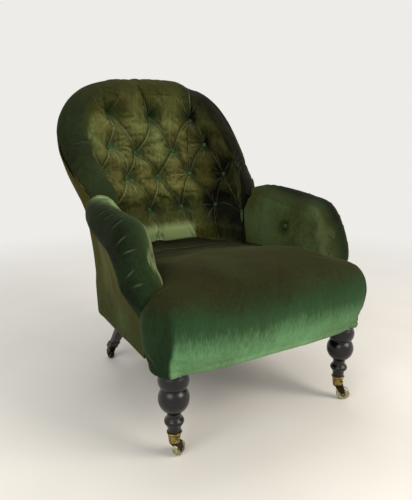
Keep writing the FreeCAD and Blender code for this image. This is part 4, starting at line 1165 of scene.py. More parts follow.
@dataclass
class PaddedArm:
    """One arm: a padded inner face that rolls over the top and down the front."""

    side: Side
    inner_x: float = 217 * MM
    outer_x: float = 316 * MM
    lean: float = 13 * MM
    round_depth: float = 46 * MM
    front_y: float = -378.5 * MM
    length: float = 510 * MM
    height: float = 545 * MM
    crest_shares: tuple[tuple[float, float], ...] = (
        (1.10, 0.905), (0.98, 0.930), (0.90, 0.952), (0.80, 0.962), (0.63, 0.947),
        (0.48, 0.934), (0.385, 0.920), (0.330, 0.884), (0.284, 0.820), (0.250, 0.738),
        (0.226, 0.642), (0.232, 0.532), (0.262, 0.440), (0.288, 0.381))
    outer_places: tuple[tuple[float, float], ...] = (
        (-0.40, 0.0), (-0.06, 0.0), (-0.01, -0.007), (0.03, -0.017), (0.10, -0.037),
        (0.15, -0.050), (0.20, -0.054))
    edge_front: float = -221.5 * MM
    knee: float = -133.5 * MM
    edge_places: tuple[tuple[float, float], ...] = (
        (-0.2215, 0.2785), (-0.18, 0.2825), (-0.135, 0.296), (-0.02, 0.2945), (0.03, 0.285),
        (0.08, 0.271), (0.17, 0.254))
    cross_creases: tuple[tuple[float, float, float, float], ...] = (
        (0.010, 0.522, 0.288, 8), (-0.095, 0.508, 0.292, 9), (-0.128, 0.503, 0.296, 6),
        (-0.176, 0.492, 0.294, 10), (-0.205, 0.464, 0.299, 7), (-0.222, 0.440, 0.291, 9),
        (-0.238, 0.400, 0.296, 6), (-0.244, 0.372, 0.284, 7))
    rear_creases: tuple[tuple[float, float], ...] = ((0.066, 2.2), (0.044, 1.6), (0.020, 0.9))
    button_y: float = -0.0835
    button_z: float = 0.420
    around: int = 190

    def button(self) -> Array:
        """The place on the inner face that the button pulls in."""
        return np.array([self.inner_x * self.side.value, self.button_y, self.button_z])

    def edge_height(self, y: Array) -> Array:
        """The height of the roll's lower line on the outside."""
        past = np.maximum(self.knee - y, 0) / (self.knee - self.edge_front)
        return 0.446 + 0.267 * (y + 0.0335) - 0.055 * past ** 2

    def edge_x(self, y: Array, z: Array) -> Array:
        """How far out the roll's lower line lies, narrowing to the pointed foot."""
        places = np.array(self.edge_places)
        level = np.interp(y, places[:, 0], places[:, 1])
        return level - 26 * MM * smooth_step(-z, -0.335, -0.250) * (y < -0.2)

    def crest_line(self) -> Array:
        """The top and front of the arm seen from the side, from the rear down to the foot."""
        points = np.array([(self.front_y + a * self.length, b * self.height) for a, b in self.crest_shares])
        return curve_through(points, self.around)

    def inner_line(self, count: int) -> Array:
        """Where the inner face's rows end, low on the arm, from the rear round to the front foot."""
        points = np.array([(0.19, 0.33), (0.05, 0.33), (-0.08, 0.325), (-0.165, 0.315), (-0.195, 0.285),
                           (-0.205, 0.24), (-0.208, 0.205)])
        return evenly(points, count)

    def edge_line(self, count: int) -> Array:
        """The roll's lower line on the outside, from the rear round to the front foot."""
        y = np.linspace(0.17, self.edge_front, 60)
        top = np.stack([y, self.edge_height(y)], 1)
        down = np.stack([np.full(12, self.edge_front), np.linspace(top[-1, 1], 0.205, 12)], 1)
        return evenly(np.vstack([top, down[1:]]), count)

    def build(self) -> bpy.types.Object:
        """Makes the arm's closed mesh."""
        crest = self.crest_line()
        n = len(crest)
        inner = self.matched(crest, self.inner_line(400))
        edge = self.matched(crest, self.edge_line(400))
        edge_x = self.edge_x(edge[:, 0], edge[:, 1])
        rows = []
        foot = smooth_step(-crest[:, 1], -0.40, -0.235)
        inner_x = np.full(n, self.inner_x)
        places = np.array(self.outer_places)
        outer_x = self.outer_x + np.interp(crest[:, 0], places[:, 0], places[:, 1]) - 58 * MM * foot
        lean = self.lean * smooth_step(crest[:, 1], 0.37, 0.45) * smooth_step(-crest[:, 0], -0.10, 0.10)
        middle = (inner_x + lean + outer_x) / 2 - 2 * MM * foot
        depth = self.round_depth * (1 - 0.2 * foot)
        in_reach = lengths(inner - crest)
        out_reach = lengths(edge - crest)
        in_way = (inner - crest) / in_reach[:, None]
        out_way = (edge - crest) / out_reach[:, None]
        for share in np.linspace(1, 0, 40, endpoint=False):
            d = depth + (in_reach - depth) * share
            bulge = 5 * MM * math.sin(math.pi * share) * (1 - foot)
            rows.append((inner_x + lean * (1 - share) ** 2 - bulge, crest + in_way * d[:, None]))
        for angle in np.linspace(0, math.pi / 2, 26, endpoint=False):
            d = depth * (1 - math.sin(angle))
            rows.append((middle - (middle - inner_x - lean) * math.cos(angle) ** 0.95,
                         crest + in_way * d[:, None]))
        down = np.minimum(depth * 1.05, out_reach * 0.62)
        for angle in np.linspace(0, math.pi / 2, 26, endpoint=False):
            d = down * (1 - math.cos(angle))
            rows.append((middle + (outer_x - middle) * math.sin(angle) ** 0.92, crest + out_way * d[:, None]))
        for share in np.linspace(0, 1, 22):
            d = down + (out_reach - down) * math.sin(share * math.pi / 2)
            swell = math.cos(share * math.pi / 2)
            rows.append((edge_x + (outer_x - edge_x) * swell, crest + out_way * d[:, None]))
        under = edge_x - 16 * MM * (1 - 0.4 * foot)
        rows.append((under, crest + out_way * (out_reach - 2 * MM)[:, None]))
        rows.append((inner_x + 18 * MM, edge * 0.8 + inner * 0.2))
        rows.append((inner_x + 18 * MM, inner))
        grid = np.stack([np.column_stack([np.broadcast_to(x, n) * self.side.value, yz]) for x, yz in rows], 1)
        self.bury_rear(grid)
        caps = [np.stack([end + (end.mean(0) - end) * share for share in (1.0, 0.6)])
                for end in (grid[0], grid[-1])]
        grid = np.concatenate([caps[0], grid, caps[1][::-1]])
        faces = grid_faces(len(grid), grid.shape[1], closed=True)
        if self.side is Side.LEFT:
            faces = faces[:, ::-1]
        piece = make_object("arm_" + self.side.name.lower(), grid.reshape(-1, 3), faces)
        welded(piece, 0.02 * MM)
        stuffed(piece, 4.5 * MM, 3.0, 5 * MM)
        self.wrinkle(piece)
        self.colour(piece)
        return piece

    def bury_rear(self, grid: Array) -> None:
        """Draws the rear end of the arm in, so that it dives into the end of the back's roll.

        Args:
            grid: the arm's places, changed in place.
        """
        shrink = 0.65 * smooth_step(grid[..., 1], 0.120, 0.185)[..., None]
        core = np.array([self.side.value * 0.237, 0.0, 0.47])
        target = np.broadcast_to(core, grid.shape).copy()
        target[..., 1] = grid[..., 1]
        grid += (target - grid) * shrink

    def matched(self, crest: Array, line: Array) -> Array:
        """For each crest place, its partner on another line, in order and spread by length.

        Args:
            crest: the arm's top and front line.
            line: the other line, finely sampled.

        Returns:
            One place per crest place.
        """
        total = walked_along(line)
        near = np.array([np.argmin(lengths(line - p)) for p in crest])
        near = np.maximum.accumulate(near)
        walked = total[near]
        steady = np.linspace(0, total[-1], len(crest))
        kernel = np.ones(15) / 15
        padded = np.r_[np.full(7, walked[0]), walked, np.full(7, walked[-1])]
        mixed = np.convolve(padded, kernel, "valid") * 0.65 + steady * 0.35
        return np.stack([np.interp(mixed, total, line[:, k]) for k in range(2)], 1)

    def creases(self, places: Array) -> tuple[Array, Array]:
        """Short creases across the outside of the roll, and folds where the arm leaves the back.

        Args:
            places: points of the arm.

        Returns:
            How far each point moves out in metres, and how much painted highlight its lit edge gets.
        """
        outside = np.abs(places[:, 0])
        shift, lit = np.zeros(len(places)), np.zeros(len(places))
        rng = np.random.default_rng(7)
        for y, z, across, wide in self.cross_creases:
            lean = rng.uniform(-0.45, 0.15)
            along = -0.75 * (places[:, 1] - y) - 0.66 * (places[:, 2] - z) + lean * (outside - across)
            beside = -0.66 * (places[:, 1] - y) + 0.75 * (places[:, 2] - z)
            mask = np.exp(-((outside - across) / (wide * MM)) ** 2 - (beside / (24 * MM)) ** 2)
            shift += (1.2 * bell(along - 5 * MM, 3.4 * MM) - 2.0
                      * bell(along, 2.6 * MM)) * MM * mask
            # A painted highlight along each crease's lit edge.
            lit = np.maximum(lit, bell(along - 3.0 * MM, 1.5 * MM) * mask)
        for y, deep in self.rear_creases:
            bow = 10 * MM * np.sin((outside - 0.2) / 0.11 * math.pi)
            dy = places[:, 1] - y + bow + 0.2 * (places[:, 2] - 0.53)
            top = smooth_step(places[:, 2], 0.44, 0.51)
            shift += (0.6 * bell(dy + 6 * MM, 4 * MM)
                      - bell(dy, 3.2 * MM)) * deep * MM * top
            # A painted highlight along each rear fold's lit edge.
            lit = np.maximum(lit, 0.5 * bell(dy + 4 * MM, 2.2 * MM) * top)
        return shift, lit

    def wrinkle(self, piece: bpy.types.Object) -> None:
        """Adds soft unevenness, the button's dimple and the creases."""
        places, normals = points_of(piece), normals_of(piece)
        shift = 1.6 * MM * lattice_noise(places, 70 * MM, 31) + 0.5 * MM * lattice_noise(places, 22 * MM, 32)
        button = self.button()
        away = lengths(places - button)
        inside = (np.abs(places[:, 0]) < 0.25)
        shift -= 11 * MM * np.exp(-np.maximum(away - 3 * MM, 0) / (14 * MM)) * inside
        angle = np.arctan2(places[:, 2] - button[2], places[:, 1] - button[1])
        shift += 0.9 * MM * np.sin(5 * angle) * bell(away - 18 * MM, 12 * MM) * inside
        move_points(piece, places + normals * (shift + self.creases(places)[0])[:, None])

    def colour(self, piece: bpy.types.Object) -> None:
        """Paints the pile: emerald and olive on the roll, olive inside, with painted highlights along the
        inner edge, on crease edges, on inward faces and on the near arm's top rear, and painted shade on the
        near arm's outside and on the far arm's roll, top faces and button dimple.
        """
        places, normals = points_of(piece), normals_of(piece)
        y, z = places[:, 1], places[:, 2]
        out = np.abs(places[:, 0])
        roll = smooth_step(out, 0.235, 0.275)
        top = np.clip(normals[:, 2], 0, 1)
        noise = lattice_noise(places, 60 * MM, 41)
        lit = self.creases(places)[1]
        button = self.button()
        dimple = bell(lengths(places - button), 16 * MM)
        inward = -normals[:, 0] * self.side.value
        # edge: a painted highlight along the arm's inner edge.
        edge = bell(inward - 0.80, 0.09) * smooth_step(z, 0.27, 0.33)
        edge *= smooth_step(-y, -0.10, 0.02)
        if self.side is Side.LEFT:
            # rear: a painted highlight on the near arm's top, towards the back.
            rear = bell(y - 0.015, 0.060) * smooth_step(-out, -0.305, -0.265)
            rear *= smooth_step(z, 0.47, 0.51)
            rear *= 0.62 + 0.38 * lattice_noise(places, 13 * MM, 42)
            # front: greener and lighter low at the front.
            front = smooth_step(-y, 0.10, 0.19) * smooth_step(-z, -0.46, -0.36)
            green = 0.48 + 0.18 * noise + 0.2 * front - 0.25 * smooth_step(0.25 - out, 0, 0.02)
            # Painted shade on the outside of the roll; the next line adds a painted highlight on faces that
            # turn inward and on the crease edges.
            light = 0.22 + 0.12 * noise + 0.74 * rear - 0.20 * smooth_step(out, 0.255, 0.30) + 0.10 * front
            light += 0.26 * smooth_step(inward, 0.2, 0.7) + 0.34 * lit
            # pale: painted highlights on the inner edge, the crease edges and the top rear.
            pale = 0.36 * edge + 0.14 * lit + 0.26 * rear
        else:
            # Greener on the roll and round the button.
            green = 0.30 + 0.16 * noise + 0.25 * roll + 0.25 * dimple
            # Painted shade on the roll, on upward faces and in the button's dimple.
            light = 0.64 + 0.10 * noise - 0.38 * roll - 0.34 * top - 0.45 * dimple
            # pale: a faint painted highlight on the inner edge, at the front.
            pale = 0.10 * edge * smooth_step(-y, 0.14, 0.20)
        paint(piece, green, light, pale)


# ---------------------------------------------------------------- seat


@dataclass
class StuffedSeat:
    """The seat's cover: a bulging wall round the front, and a crowned top that runs back between the arms.

    Wall and crown are pairs of a distance inward in millimetres and a height. Fall says how far the top
    has sunk at each place from front to back, softly stopped at lowest_top. Beside the arms the top then
    drops by shoulder_drop.
    """

    front_y: float = -378.5 * MM
    half_width: float = 297 * MM
    hem: float = 206 * MM
    centre_y: float = -30 * MM
    around: int = 640
    corner: tuple[tuple[float, float], ...] = (
        (0.0, 0.0), (0.119, 0.002), (0.19, 0.007), (0.235, 0.0155), (0.264, 0.029), (0.284, 0.054),
        (0.2925, 0.082), (0.2895, 0.106), (0.2815, 0.128), (0.273, 0.150))
    hidden: tuple[tuple[float, float], ...] = (
        (0.2665, 0.172), (0.256, 0.190), (0.245, 0.215), (0.240, 0.27), (0.243, 0.40), (0.232, 0.50),
        (0.185, 0.565), (0.10, 0.59), (0.0, 0.597))
    wall: tuple[tuple[float, float], ...] = (
        (50, 0.2045), (36, 0.2020), (31, 0.2060), (25, 0.2175), (17, 0.236), (9, 0.257),
        (3, 0.280), (0, 0.302), (3, 0.324), (9, 0.3405), (18, 0.3545), (28, 0.3635))
    crown: tuple[tuple[float, float], ...] = (
        (28, 0.3635), (38, 0.3695), (52, 0.3755), (80, 0.3835), (120, 0.3895), (180, 0.3940),
        (300, 0.3965))
    fall: tuple[tuple[float, float], ...] = (
        (-0.27, 0.0), (-0.20, 0.003), (-0.15, 0.008), (-0.10, 0.015), (0.0, 0.030),
        (0.10, 0.044), (0.19, 0.049))
    widest: float = 0.302
    lowest_top: float = 342 * MM
    softness_mm: float = 4.0
    smooth_from: int = 100
    shoulder_drop: float = 19 * MM
    seam_x: float = 0.2575

    def plan(self) -> tuple[Array, Array]:
        """The widest outline of the seat, all the way round, and its inward directions."""
        half = curve_through(np.array([(x, self.front_y + y) for x, y in self.corner + self.hidden]),
                             self.around // 2)
        loop = np.vstack([half, (half * (-1, 1))[-2:0:-1]])
        run = np.roll(loop, -1, axis=0) - np.roll(loop, 1, axis=0)
        kernel = np.ones(9) / 9
        run = np.stack([np.convolve(np.r_[run[-4:, k], run[:, k], run[:4, k]], kernel, "valid")
                        for k in range(2)], 1)
        run /= lengths(run)[:, None]
        return loop, np.stack([-run[:, 1], run[:, 0]], 1)

    def build(self) -> list[bpy.types.Object]:
        """Makes the cover as one closed skin."""
        loop, inward = self.plan()
        wall = curve_through(np.array([(inset * MM, z) for inset, z in self.wall]), 110)
        rings = []
        fullness = 1 - 0.55 * smooth_step(np.abs(loop[:, 0]), 0.235, 0.275)
        for inset, z in wall:
            share = fullness if z < self.widest else 1.0
            xy = loop + inward * (np.full(len(loop), inset) * share)[:, None]
            rings.append(np.column_stack([xy, np.full(len(loop), z)]))
        rim = rings[-1]
        centre = np.array([0.0, self.centre_y])
        reach = lengths(rim[:, :2] - centre)
        crown, fall = np.array(self.crown), np.array(self.fall)
        for share in 1 - np.linspace(0, 1, 110)[1:] ** 0.92:
            xy = centre + (rim[:, :2] - centre) * share
            inset = crown[0, 0] + (1 - share) * reach / MM
            z = np.interp(inset, crown[:, 0], crown[:, 1]) - np.interp(xy[:, 1], fall[:, 0], fall[:, 1])
            above = (z - self.lowest_top) / (self.softness_mm * MM)
            z = self.lowest_top + np.logaddexp(0, above) * self.softness_mm * MM
            drop = self.shoulder_drop * smooth_step(np.abs(xy[:, 0]), 0.160, 0.228)
            z -= drop * smooth_step(xy[:, 1], -0.325, -0.250)
            rings.append(np.column_stack([xy, z]))
        grid = np.stack(rings)
        start = self.smooth_from
        for _ in range(6):
            grid[start:-1, :, 2] = (grid[start - 1:-2, :, 2] + grid[start:-1, :, 2]
                                    + grid[start + 1:, :, 2]) / 3
        bottom = grid[:1] * (0.0, 0.0, 1.0) + np.array([0.0, self.centre_y, 0.0])
        grid = np.concatenate([bottom, grid])
        piece = make_object("seat_cover", grid.reshape(-1, 3),
                            grid_faces(len(grid), grid.shape[1], closed=True))
        welded(piece, 0.05 * MM)
        stuffed(piece, 5 * MM, 3.0, 7 * MM)
        self.settle(piece)
        self.colour(piece)
        return [piece]

    def settle(self, piece: bpy.types.Object) -> None:
        """Adds the corner seams, the brushed front, a slight hollow and faint creases in the top."""
        places, normals = points_of(piece), normals_of(piece)
        x, y, z = places.T
        shift = 1.4 * MM * lattice_noise(places, 90 * MM, 51) + 0.3 * MM * lattice_noise(places, 22 * MM, 52)
        front = smooth_step(-y, 0.22, 0.30) * (z > 0.21)
        brushed = 0.7 * MM * lattice_noise(places * (1, 0.3, 0.12), 9 * MM, 53) * front
        shift += brushed * smooth_step(-z, -0.33, -0.22)
        seam = (np.abs(np.abs(x) - self.seam_x) / MM)
        low = smooth_step(-z, -0.352, -0.325) * front
        shift += (-1.6 * bell(seam, 1.8) + 0.9 * bell(seam - 4.5, 2.2)) * MM * low
        for points, width, depth in (
                (((-0.07, 0.07), (0.00, 0.02), (0.08, -0.01), (0.17, -0.03)), 5, 1.6),
                (((0.02, -0.06), (0.09, -0.10), (0.16, -0.11)), 4, 1.0),
                (((0.10, 0.02), (0.15, -0.01), (0.205, -0.06)), 4, 1.4),
                (((0.12, 0.05), (0.165, 0.02), (0.21, -0.02)), 3.5, 1.2),
                (((-0.16, -0.02), (-0.08, -0.05), (0.0, -0.05)), 6, 1.0)):
            crease = curve_through(np.array(points), 40)
            away = np.min(np.hypot(x[:, None] - crease[None, :, 0], y[:, None] - crease[None, :, 1]), axis=1)
            shift -= depth * MM * bell(away, width * MM) * (z > 0.34)
        hollow = 4 * MM * np.exp(-((x / 0.14) ** 2 + ((y - 0.02) / 0.12) ** 2)) * (z > 0.36)
        move_points(piece, places + normals * shift[:, None] - np.outer(hollow, (0, 0, 1)))

    def colour(self, piece: bpy.types.Object) -> None:
        """Paints the pile: painted shade on top and at the sides, and down the front a painted tint of light
        that turns it emerald and paler towards the bottom, with painted highlights along the hem.
        """
        places, normals = points_of(piece), normals_of(piece)
        x, y, z = places.T
        wall = smooth_step(-normals[:, 2], -0.90, -0.25)
        down = smooth_step(-z, -0.350, -0.225)
        side = smooth_step(np.abs(x), self.seam_x - 0.004, self.seam_x + 0.004)
        side *= smooth_step(-z, -0.36, -0.33)
        noise = lattice_noise(places, 70 * MM, 61)
        streaks = lattice_noise(places * (1, 1, 0.16), 5 * MM, 62)
        # Emerald down the front wall, a painted tint of light, with random tone.
        green = 0.10 + 0.66 * wall + 0.16 * down + 0.1 * noise
        # Painted shade on top and painted light down the front wall, with random tone and streaks.
        light = 0.20 + wall * (0.10 + 0.48 * down) + 0.06 * noise + 0.03 * streaks * wall
        # Painted shade at the back of the top and on the right of the front.
        light -= (0.16 * smooth_step(y, -0.16, 0.06) * (1 - wall)
                  + 0.14 * smooth_step(x, 0.12, 0.26) * wall * down)
        # Painted shade on the sides below the arms.
        light -= (0.50 * down + 0.10) * side
        # pale: a painted highlight low on the front and along the hem.
        pale = 0.05 * down * wall * (1 - side)
        hem = bell(z - 0.216, 0.004) * wall * (1 - side)
        paint(piece, green - 0.15 * side, light, pale + 0.12 * hem)


# ---------------------------------------------------------------- outside covers


@dataclass
class OutsideCover:
    """The plain outside cover: the back and both arms' outer sides, sewn together at the rear corners.

    Flare is the line of the rear corners: a share of the way down, and how much of the way from the
    hem's outline to the top's is left there. The cover keeps its clearance from the frame's places
    within reach_beside and reach_level of each of its points, unless that takes over most_room.
    """

    seam_degrees: float = 13.0
    hem: float = 203 * MM
    proud: float = 0.8 * MM
    thickness: float = 3 * MM
    rows: int = 90
    back_columns: int = 100
    side_columns: int = 90
    flare: tuple[tuple[float, float], ...] = (
        (0.0, 1.0), (0.08, 0.86), (0.168, 0.71), (0.25, 0.53), (0.343, 0.32), (0.444, 0.13),
        (0.537, 0.02), (0.664, -0.02), (0.806, -0.01), (1.0, 0.0))
    frame_step: float = 7 * MM
    reach_beside: float = 11 * MM
    reach_level: float = 9 * MM
    clearance: float = 3 * MM
    most_room: float = 40 * MM

    def half(self, arm: PaddedArm) -> tuple[Array, Array, Array]:
        """The top and bottom lines of the right half, from the middle of the back to the arm's foot.

        Args:
            arm: the right arm, whose roll covers the top of the side.

        Returns:
            Top places, bottom places, and the distance from the rear corner's seam.
        """
        st = BACK.stations(np.linspace(0, BACK.last_column, self.back_columns))
        turn = math.radians(self.seam_degrees)
        out = (st["radius"] * math.cos(turn) + self.proud)[:, None]
        rise = (st["length"] + st["radius"] * math.sin(turn))[:, None]
        top = st["foot"] + st["out"] * out + st["up"] * rise
        last_angle = float(BACK.seat_angle(np.array([BACK.last_column]))[0])
        angles = np.linspace(last_angle, math.pi / 2, 24)[1:]
        low = BACK.plan(angles, BACK.outer_half_width, BACK.outer_depth, BACK.outer_squareness, self.hem)
        straight = np.linspace(BACK.centre_y, arm.edge_front - 2 * MM, self.side_columns)[1:]
        along = np.column_stack([np.full(len(straight), BACK.outer_half_width), straight,
                                 np.full(len(straight), self.hem)])
        low = np.vstack([low, along])
        run = top[-1, 1] - arm.edge_front
        high_y = top[-1, 1] + (low[:, 1] - low[0, 1]) * run / (low[0, 1] - arm.edge_front)
        sink = smooth_step(top[-1, 1] - high_y, 0.0, 0.06)
        high_z = top[-1, 2] + (arm.edge_height(high_y) + 5 * MM - top[-1, 2]) * sink
        high_x = top[-1, 0] + (arm.edge_x(high_y, high_z) - 2 * MM - top[-1, 0]) * sink
        bottom = np.vstack([st["hem"], low])
        bottom[:, 2] = self.hem
        top = np.vstack([top, np.column_stack([high_x, high_y, high_z])])
        walk = walked_along(bottom)
        return top, bottom, walk - walk[self.back_columns - 1]

    def build(self, arm: PaddedArm) -> bpy.types.Object:
        """Makes the cover.

        Args:
            arm: the right arm.

        Returns:
            The piece.
        """
        top, bottom, seam = self.half(arm)
        mirror = np.array([-1.0, 1.0, 1.0])
        top = np.vstack([(top * mirror)[:0:-1], top])
        bottom = np.vstack([(bottom * mirror)[:0:-1], bottom])
        seam = np.r_[seam[:0:-1], seam]
        beyond = len(seam) // 2 + 1 - self.back_columns
        spread = np.abs(np.r_[np.linspace(0, BACK.last_column, self.back_columns),
                              np.full(beyond, BACK.last_column + 0.5)])
        spread = np.r_[spread[:0:-1], spread]
        shares = np.linspace(0, 1, self.rows)
        flare = np.array(self.flare)
        corner = smooth_step(spread, 1.0, 1.7) * (1 - 0.6 * smooth_step(spread, 2.3, BACK.last_column))
        outer = []
        for share in shares:
            kept = (1 - share) * (1 - corner) + np.interp(share, flare[:, 0], flare[:, 1]) * corner
            level = top + (bottom - top) * share
            plan = bottom + (top - bottom) * kept[:, None]
            outer.append(np.column_stack([plan[:, :2], level[:, 2]]))
        outer = np.stack(outer)
        run = np.gradient(bottom, axis=0)
        run /= lengths(run)[:, None]
        way = np.stack([-run[:, 1], run[:, 0], np.zeros(len(run))], 1)
        outer = outer + way[None] * self.room_needed(outer, run, way)[..., None]
        hollow = 2.5 * MM * np.sin(shares * math.pi)[:, None] * smooth_step(np.abs(seam), 0, 0.05)[None]
        groove = (-1.4 * MM * bell(seam, 1.8 * MM)
                  + 1.2 * MM * bell(np.abs(seam) - 5 * MM, 2.6 * MM))
        outer = outer + way[None] * (groove[None] - hollow)[..., None]
        inner = outer - way[None] * self.thickness
        grid = np.concatenate([outer, inner[::-1], outer[:1]])
        piece = make_object("outside_cover", grid.reshape(-1, 3),
                            grid_faces(len(grid), grid.shape[1])[:, ::-1])
        places, normals = points_of(piece), normals_of(piece)
        slack = 1.3 * MM * lattice_noise(places * (1, 1, 0.35), 45 * MM, 72)
        move_points(piece, places + normals * slack[:, None])
        noise = lattice_noise(places, 80 * MM, 82)
        low = smooth_step(-places[:, 2], -0.34, -0.22)
        paint(piece, 0.04 + 0.10 * noise + 0.2 * low, 0.56 + 0.08 * noise - 0.08 * low)
        welded(piece, 0.02 * MM)
        return piece

    def room_needed(self, outer: Array, run: Array, way: Array) -> Array:
        """How far the cover has to stand out at each point so that the frame inside stays covered.

        Args:
            outer: the cover's places, rows by columns.
            run: each column's direction along the cover.
            way: each column's outward direction.

        Returns:
            A (rows, columns) array of distances.
        """
        hidden = frame_points(self.frame_step)
        need = np.zeros(outer.shape[:2])
        for row, line in enumerate(outer):
            near = hidden[(hidden[:, 2] > line[:, 2].min() - self.reach_level)
                          & (hidden[:, 2] < line[:, 2].max() + self.reach_level)]
            for column, place in enumerate(line):
                gap = near - place
                beside = np.abs(gap @ run[column])
                close = (beside < self.reach_beside) & (np.abs(gap[:, 2]) < self.reach_level)
                if close.any():
                    out = (gap[close] @ way[column]).max() + self.thickness + self.clearance
                    need[row, column] = max(0.0, out)
        need *= need < self.most_room
        for _ in range(3):
            need[1:-1] = np.maximum(need[1:-1], np.maximum(need[:-2], need[2:]))
            need[:, 1:-1] = np.maximum(need[:, 1:-1], np.maximum(need[:, :-2], need[:, 2:]))
        for _ in range(10):
            need[1:-1] = (need[:-2] + need[1:-1] + need[2:]) / 3
            need[:, 1:-1] = (need[:, :-2] + need[:, 1:-1] + need[:, 2:]) / 3
        return need


# ---------------------------------------------------------------- buttons


@dataclass
class CoveredButtons:
    """Velvet covered buttons, pulled down to the bottom of each tuft."""

    radius: float = 7.4 * MM
    dome: float = 4.6 * MM

    def one(self, seat: Array, facing: Array, spin: float) -> tuple[Array, Array]:
        """A single button.

        Args:
            seat: the middle of its underside.
            facing: the way that it faces.
            spin: how far it is turned.

        Returns:
            Places and faces.
        """
        profile = np.array([(0.0, 1.0), (0.35, 0.96), (0.66, 0.78), (0.88, 0.46), (0.98, 0.18), (1.0, 0.0),
                            (0.93, -0.22), (0.6, -0.3)])
        around = 24
        angles = np.linspace(0, 2 * math.pi, around, endpoint=False) + spin
        across = np.cross(facing, (0.0, 0.0, 1.0))
        across /= np.linalg.norm(across)
        rise = np.cross(across, facing)
        rows = []
        for reach, height in profile:
            pucker = 1 + 0.02 * np.sin(6 * angles) * reach
            rows.append(seat + facing * (height * self.dome)
                        + (np.cos(angles) * self.radius * reach * pucker)[:, None] * across
                        + (np.sin(angles) * self.radius * reach * pucker)[:, None] * rise)
        grid = np.stack(rows)
        return grid.reshape(-1, 3), grid_faces(len(profile), around, closed=True)

    def group(self, name: str, spots: list[tuple[Array, Array]]) -> bpy.types.Object:
        """Joins several buttons into one piece.

        Args:
            name: the piece's name.
            spots: seats and facings.

        Returns:
            The piece.
        """
        places, faces, count = [], [], 0
        for index, (seat, facing) in enumerate(spots):
            p, f = self.one(seat, facing, index * 0.7)
            places.append(p)
            faces.append(f + count)
            count += len(p)
        piece = make_object(name, np.vstack(places), np.vstack(faces))
        welded(piece, 0.05 * MM)
        n = len(piece.data.vertices)
        paint(piece, np.full(n, 0.6), np.full(n, 0.55))
        return piece


# ---------------------------------------------------------------- legs and castors


def arc_line(points: list[tuple[float, float]], steps: int = 10) -> Array:
    """Follows arcs through points given as end, middle, end, middle, end.

    Args:
        points: radius and height pairs.
        steps: samples on each arc.

    Returns:
        An (n, 2) line.
    """
    line = [points[0]]
    for i in range(0, len(points) - 2, 2):
        a, b, c = (np.array(p) for p in points[i:i + 3])
        bend = (b[0] - a[0]) * (c[1] - a[1]) - (b[1] - a[1]) * (c[0] - a[0])
        if abs(bend) < 3e-4 * np.sum((c - a) ** 2):
            line.append(tuple(c))
            continue
        d = 2 * (a[0] * (b[1] - c[1]) + b[0] * (c[1] - a[1]) + c[0] * (a[1] - b[1]))
        ux = ((a @ a) * (b[1] - c[1]) + (b @ b) * (c[1] - a[1]) + (c @ c) * (a[1] - b[1])) / d
        uy = ((a @ a) * (c[0] - b[0]) + (b @ b) * (a[0] - c[0]) + (c @ c) * (b[0] - a[0])) / d
        centre = np.array([ux, uy])
        first = math.atan2(*(a - centre)[::-1])
        mid = (math.atan2(*(b - centre)[::-1]) - first) % (2 * math.pi)
        last = (math.atan2(*(c - centre)[::-1]) - first) % (2 * math.pi)
        if mid > last:
            last -= 2 * math.pi
        radius = np.linalg.norm(a - centre)
        for t in np.linspace(0, last, steps + 1)[1:]:
            line.append((centre[0] + radius * math.cos(first + t), centre[1] + radius * math.sin(first + t)))
    return np.array(line)


def lathed(name: str, line: Array, centre: Array, axis: Array, around: int = 64) -> bpy.types.Object:
    """Turns a line about an axis.

    Args:
        name: the piece's name.
        line: radius and distance along the axis.
        centre: the axis's start.
        axis: its direction.
        around: how many points go round.

    Returns:
        The turned piece.
    """
    axis = np.asarray(axis, float) / np.linalg.norm(axis)
    side = np.cross(axis, (0.0, 1.0, 0.0) if abs(axis[1]) < 0.9 else (1.0, 0.0, 0.0))
    side /= np.linalg.norm(side)
    other = np.cross(axis, side)
    angles = np.linspace(0, 2 * math.pi, around, endpoint=False)
    rows = [np.asarray(centre) + axis * along + radius
            * (np.cos(angles)[:, None] * side + np.sin(angles)[:, None] * other)
            for radius, along in line]
    grid = np.stack(rows)
    piece = make_object(name, grid.reshape(-1, 3), grid_faces(len(rows), around, closed=True))
    welded(piece, 0.01 * MM)
    return piece


@dataclass
class TurnedLeg:
    """A front leg turned with a bead, a bulb and a collar above the castor's cup."""

    side: Side
    x: float = 235 * MM
    y: float = -303.5 * MM
    top: float = 208 * MM
    foot: float = 46 * MM
    radii: tuple[float, ...] = (
        27, 27.5, 28, 32.5, 27.5, 24, 25.5, 33, 21, 15, 15.8, 21, 16.5, 15, 13.5, 11.5, 9.5)
    falls: tuple[float, ...] = (
        0, .025, .05, .15, .24, .255, .27, .40, .56, .62, .675, .72, .77, .80, .88, .94, 1)

    def build(self) -> bpy.types.Object:
        """Makes the turned leg."""
        reach = self.top - self.foot
        points = [(r * MM, self.top - reach * f) for r, f in zip(self.radii, self.falls)]
        line = arc_line(points)
        line = np.vstack([[(0.0, self.top)], line, [(0.0, self.foot)]])[::-1]
        return lathed("front_leg_turned_" + self.side.name.lower(), line,
                      np.array([self.side.value * self.x, self.y, 0.0]), np.array([0, 0, 1.0]), 72)


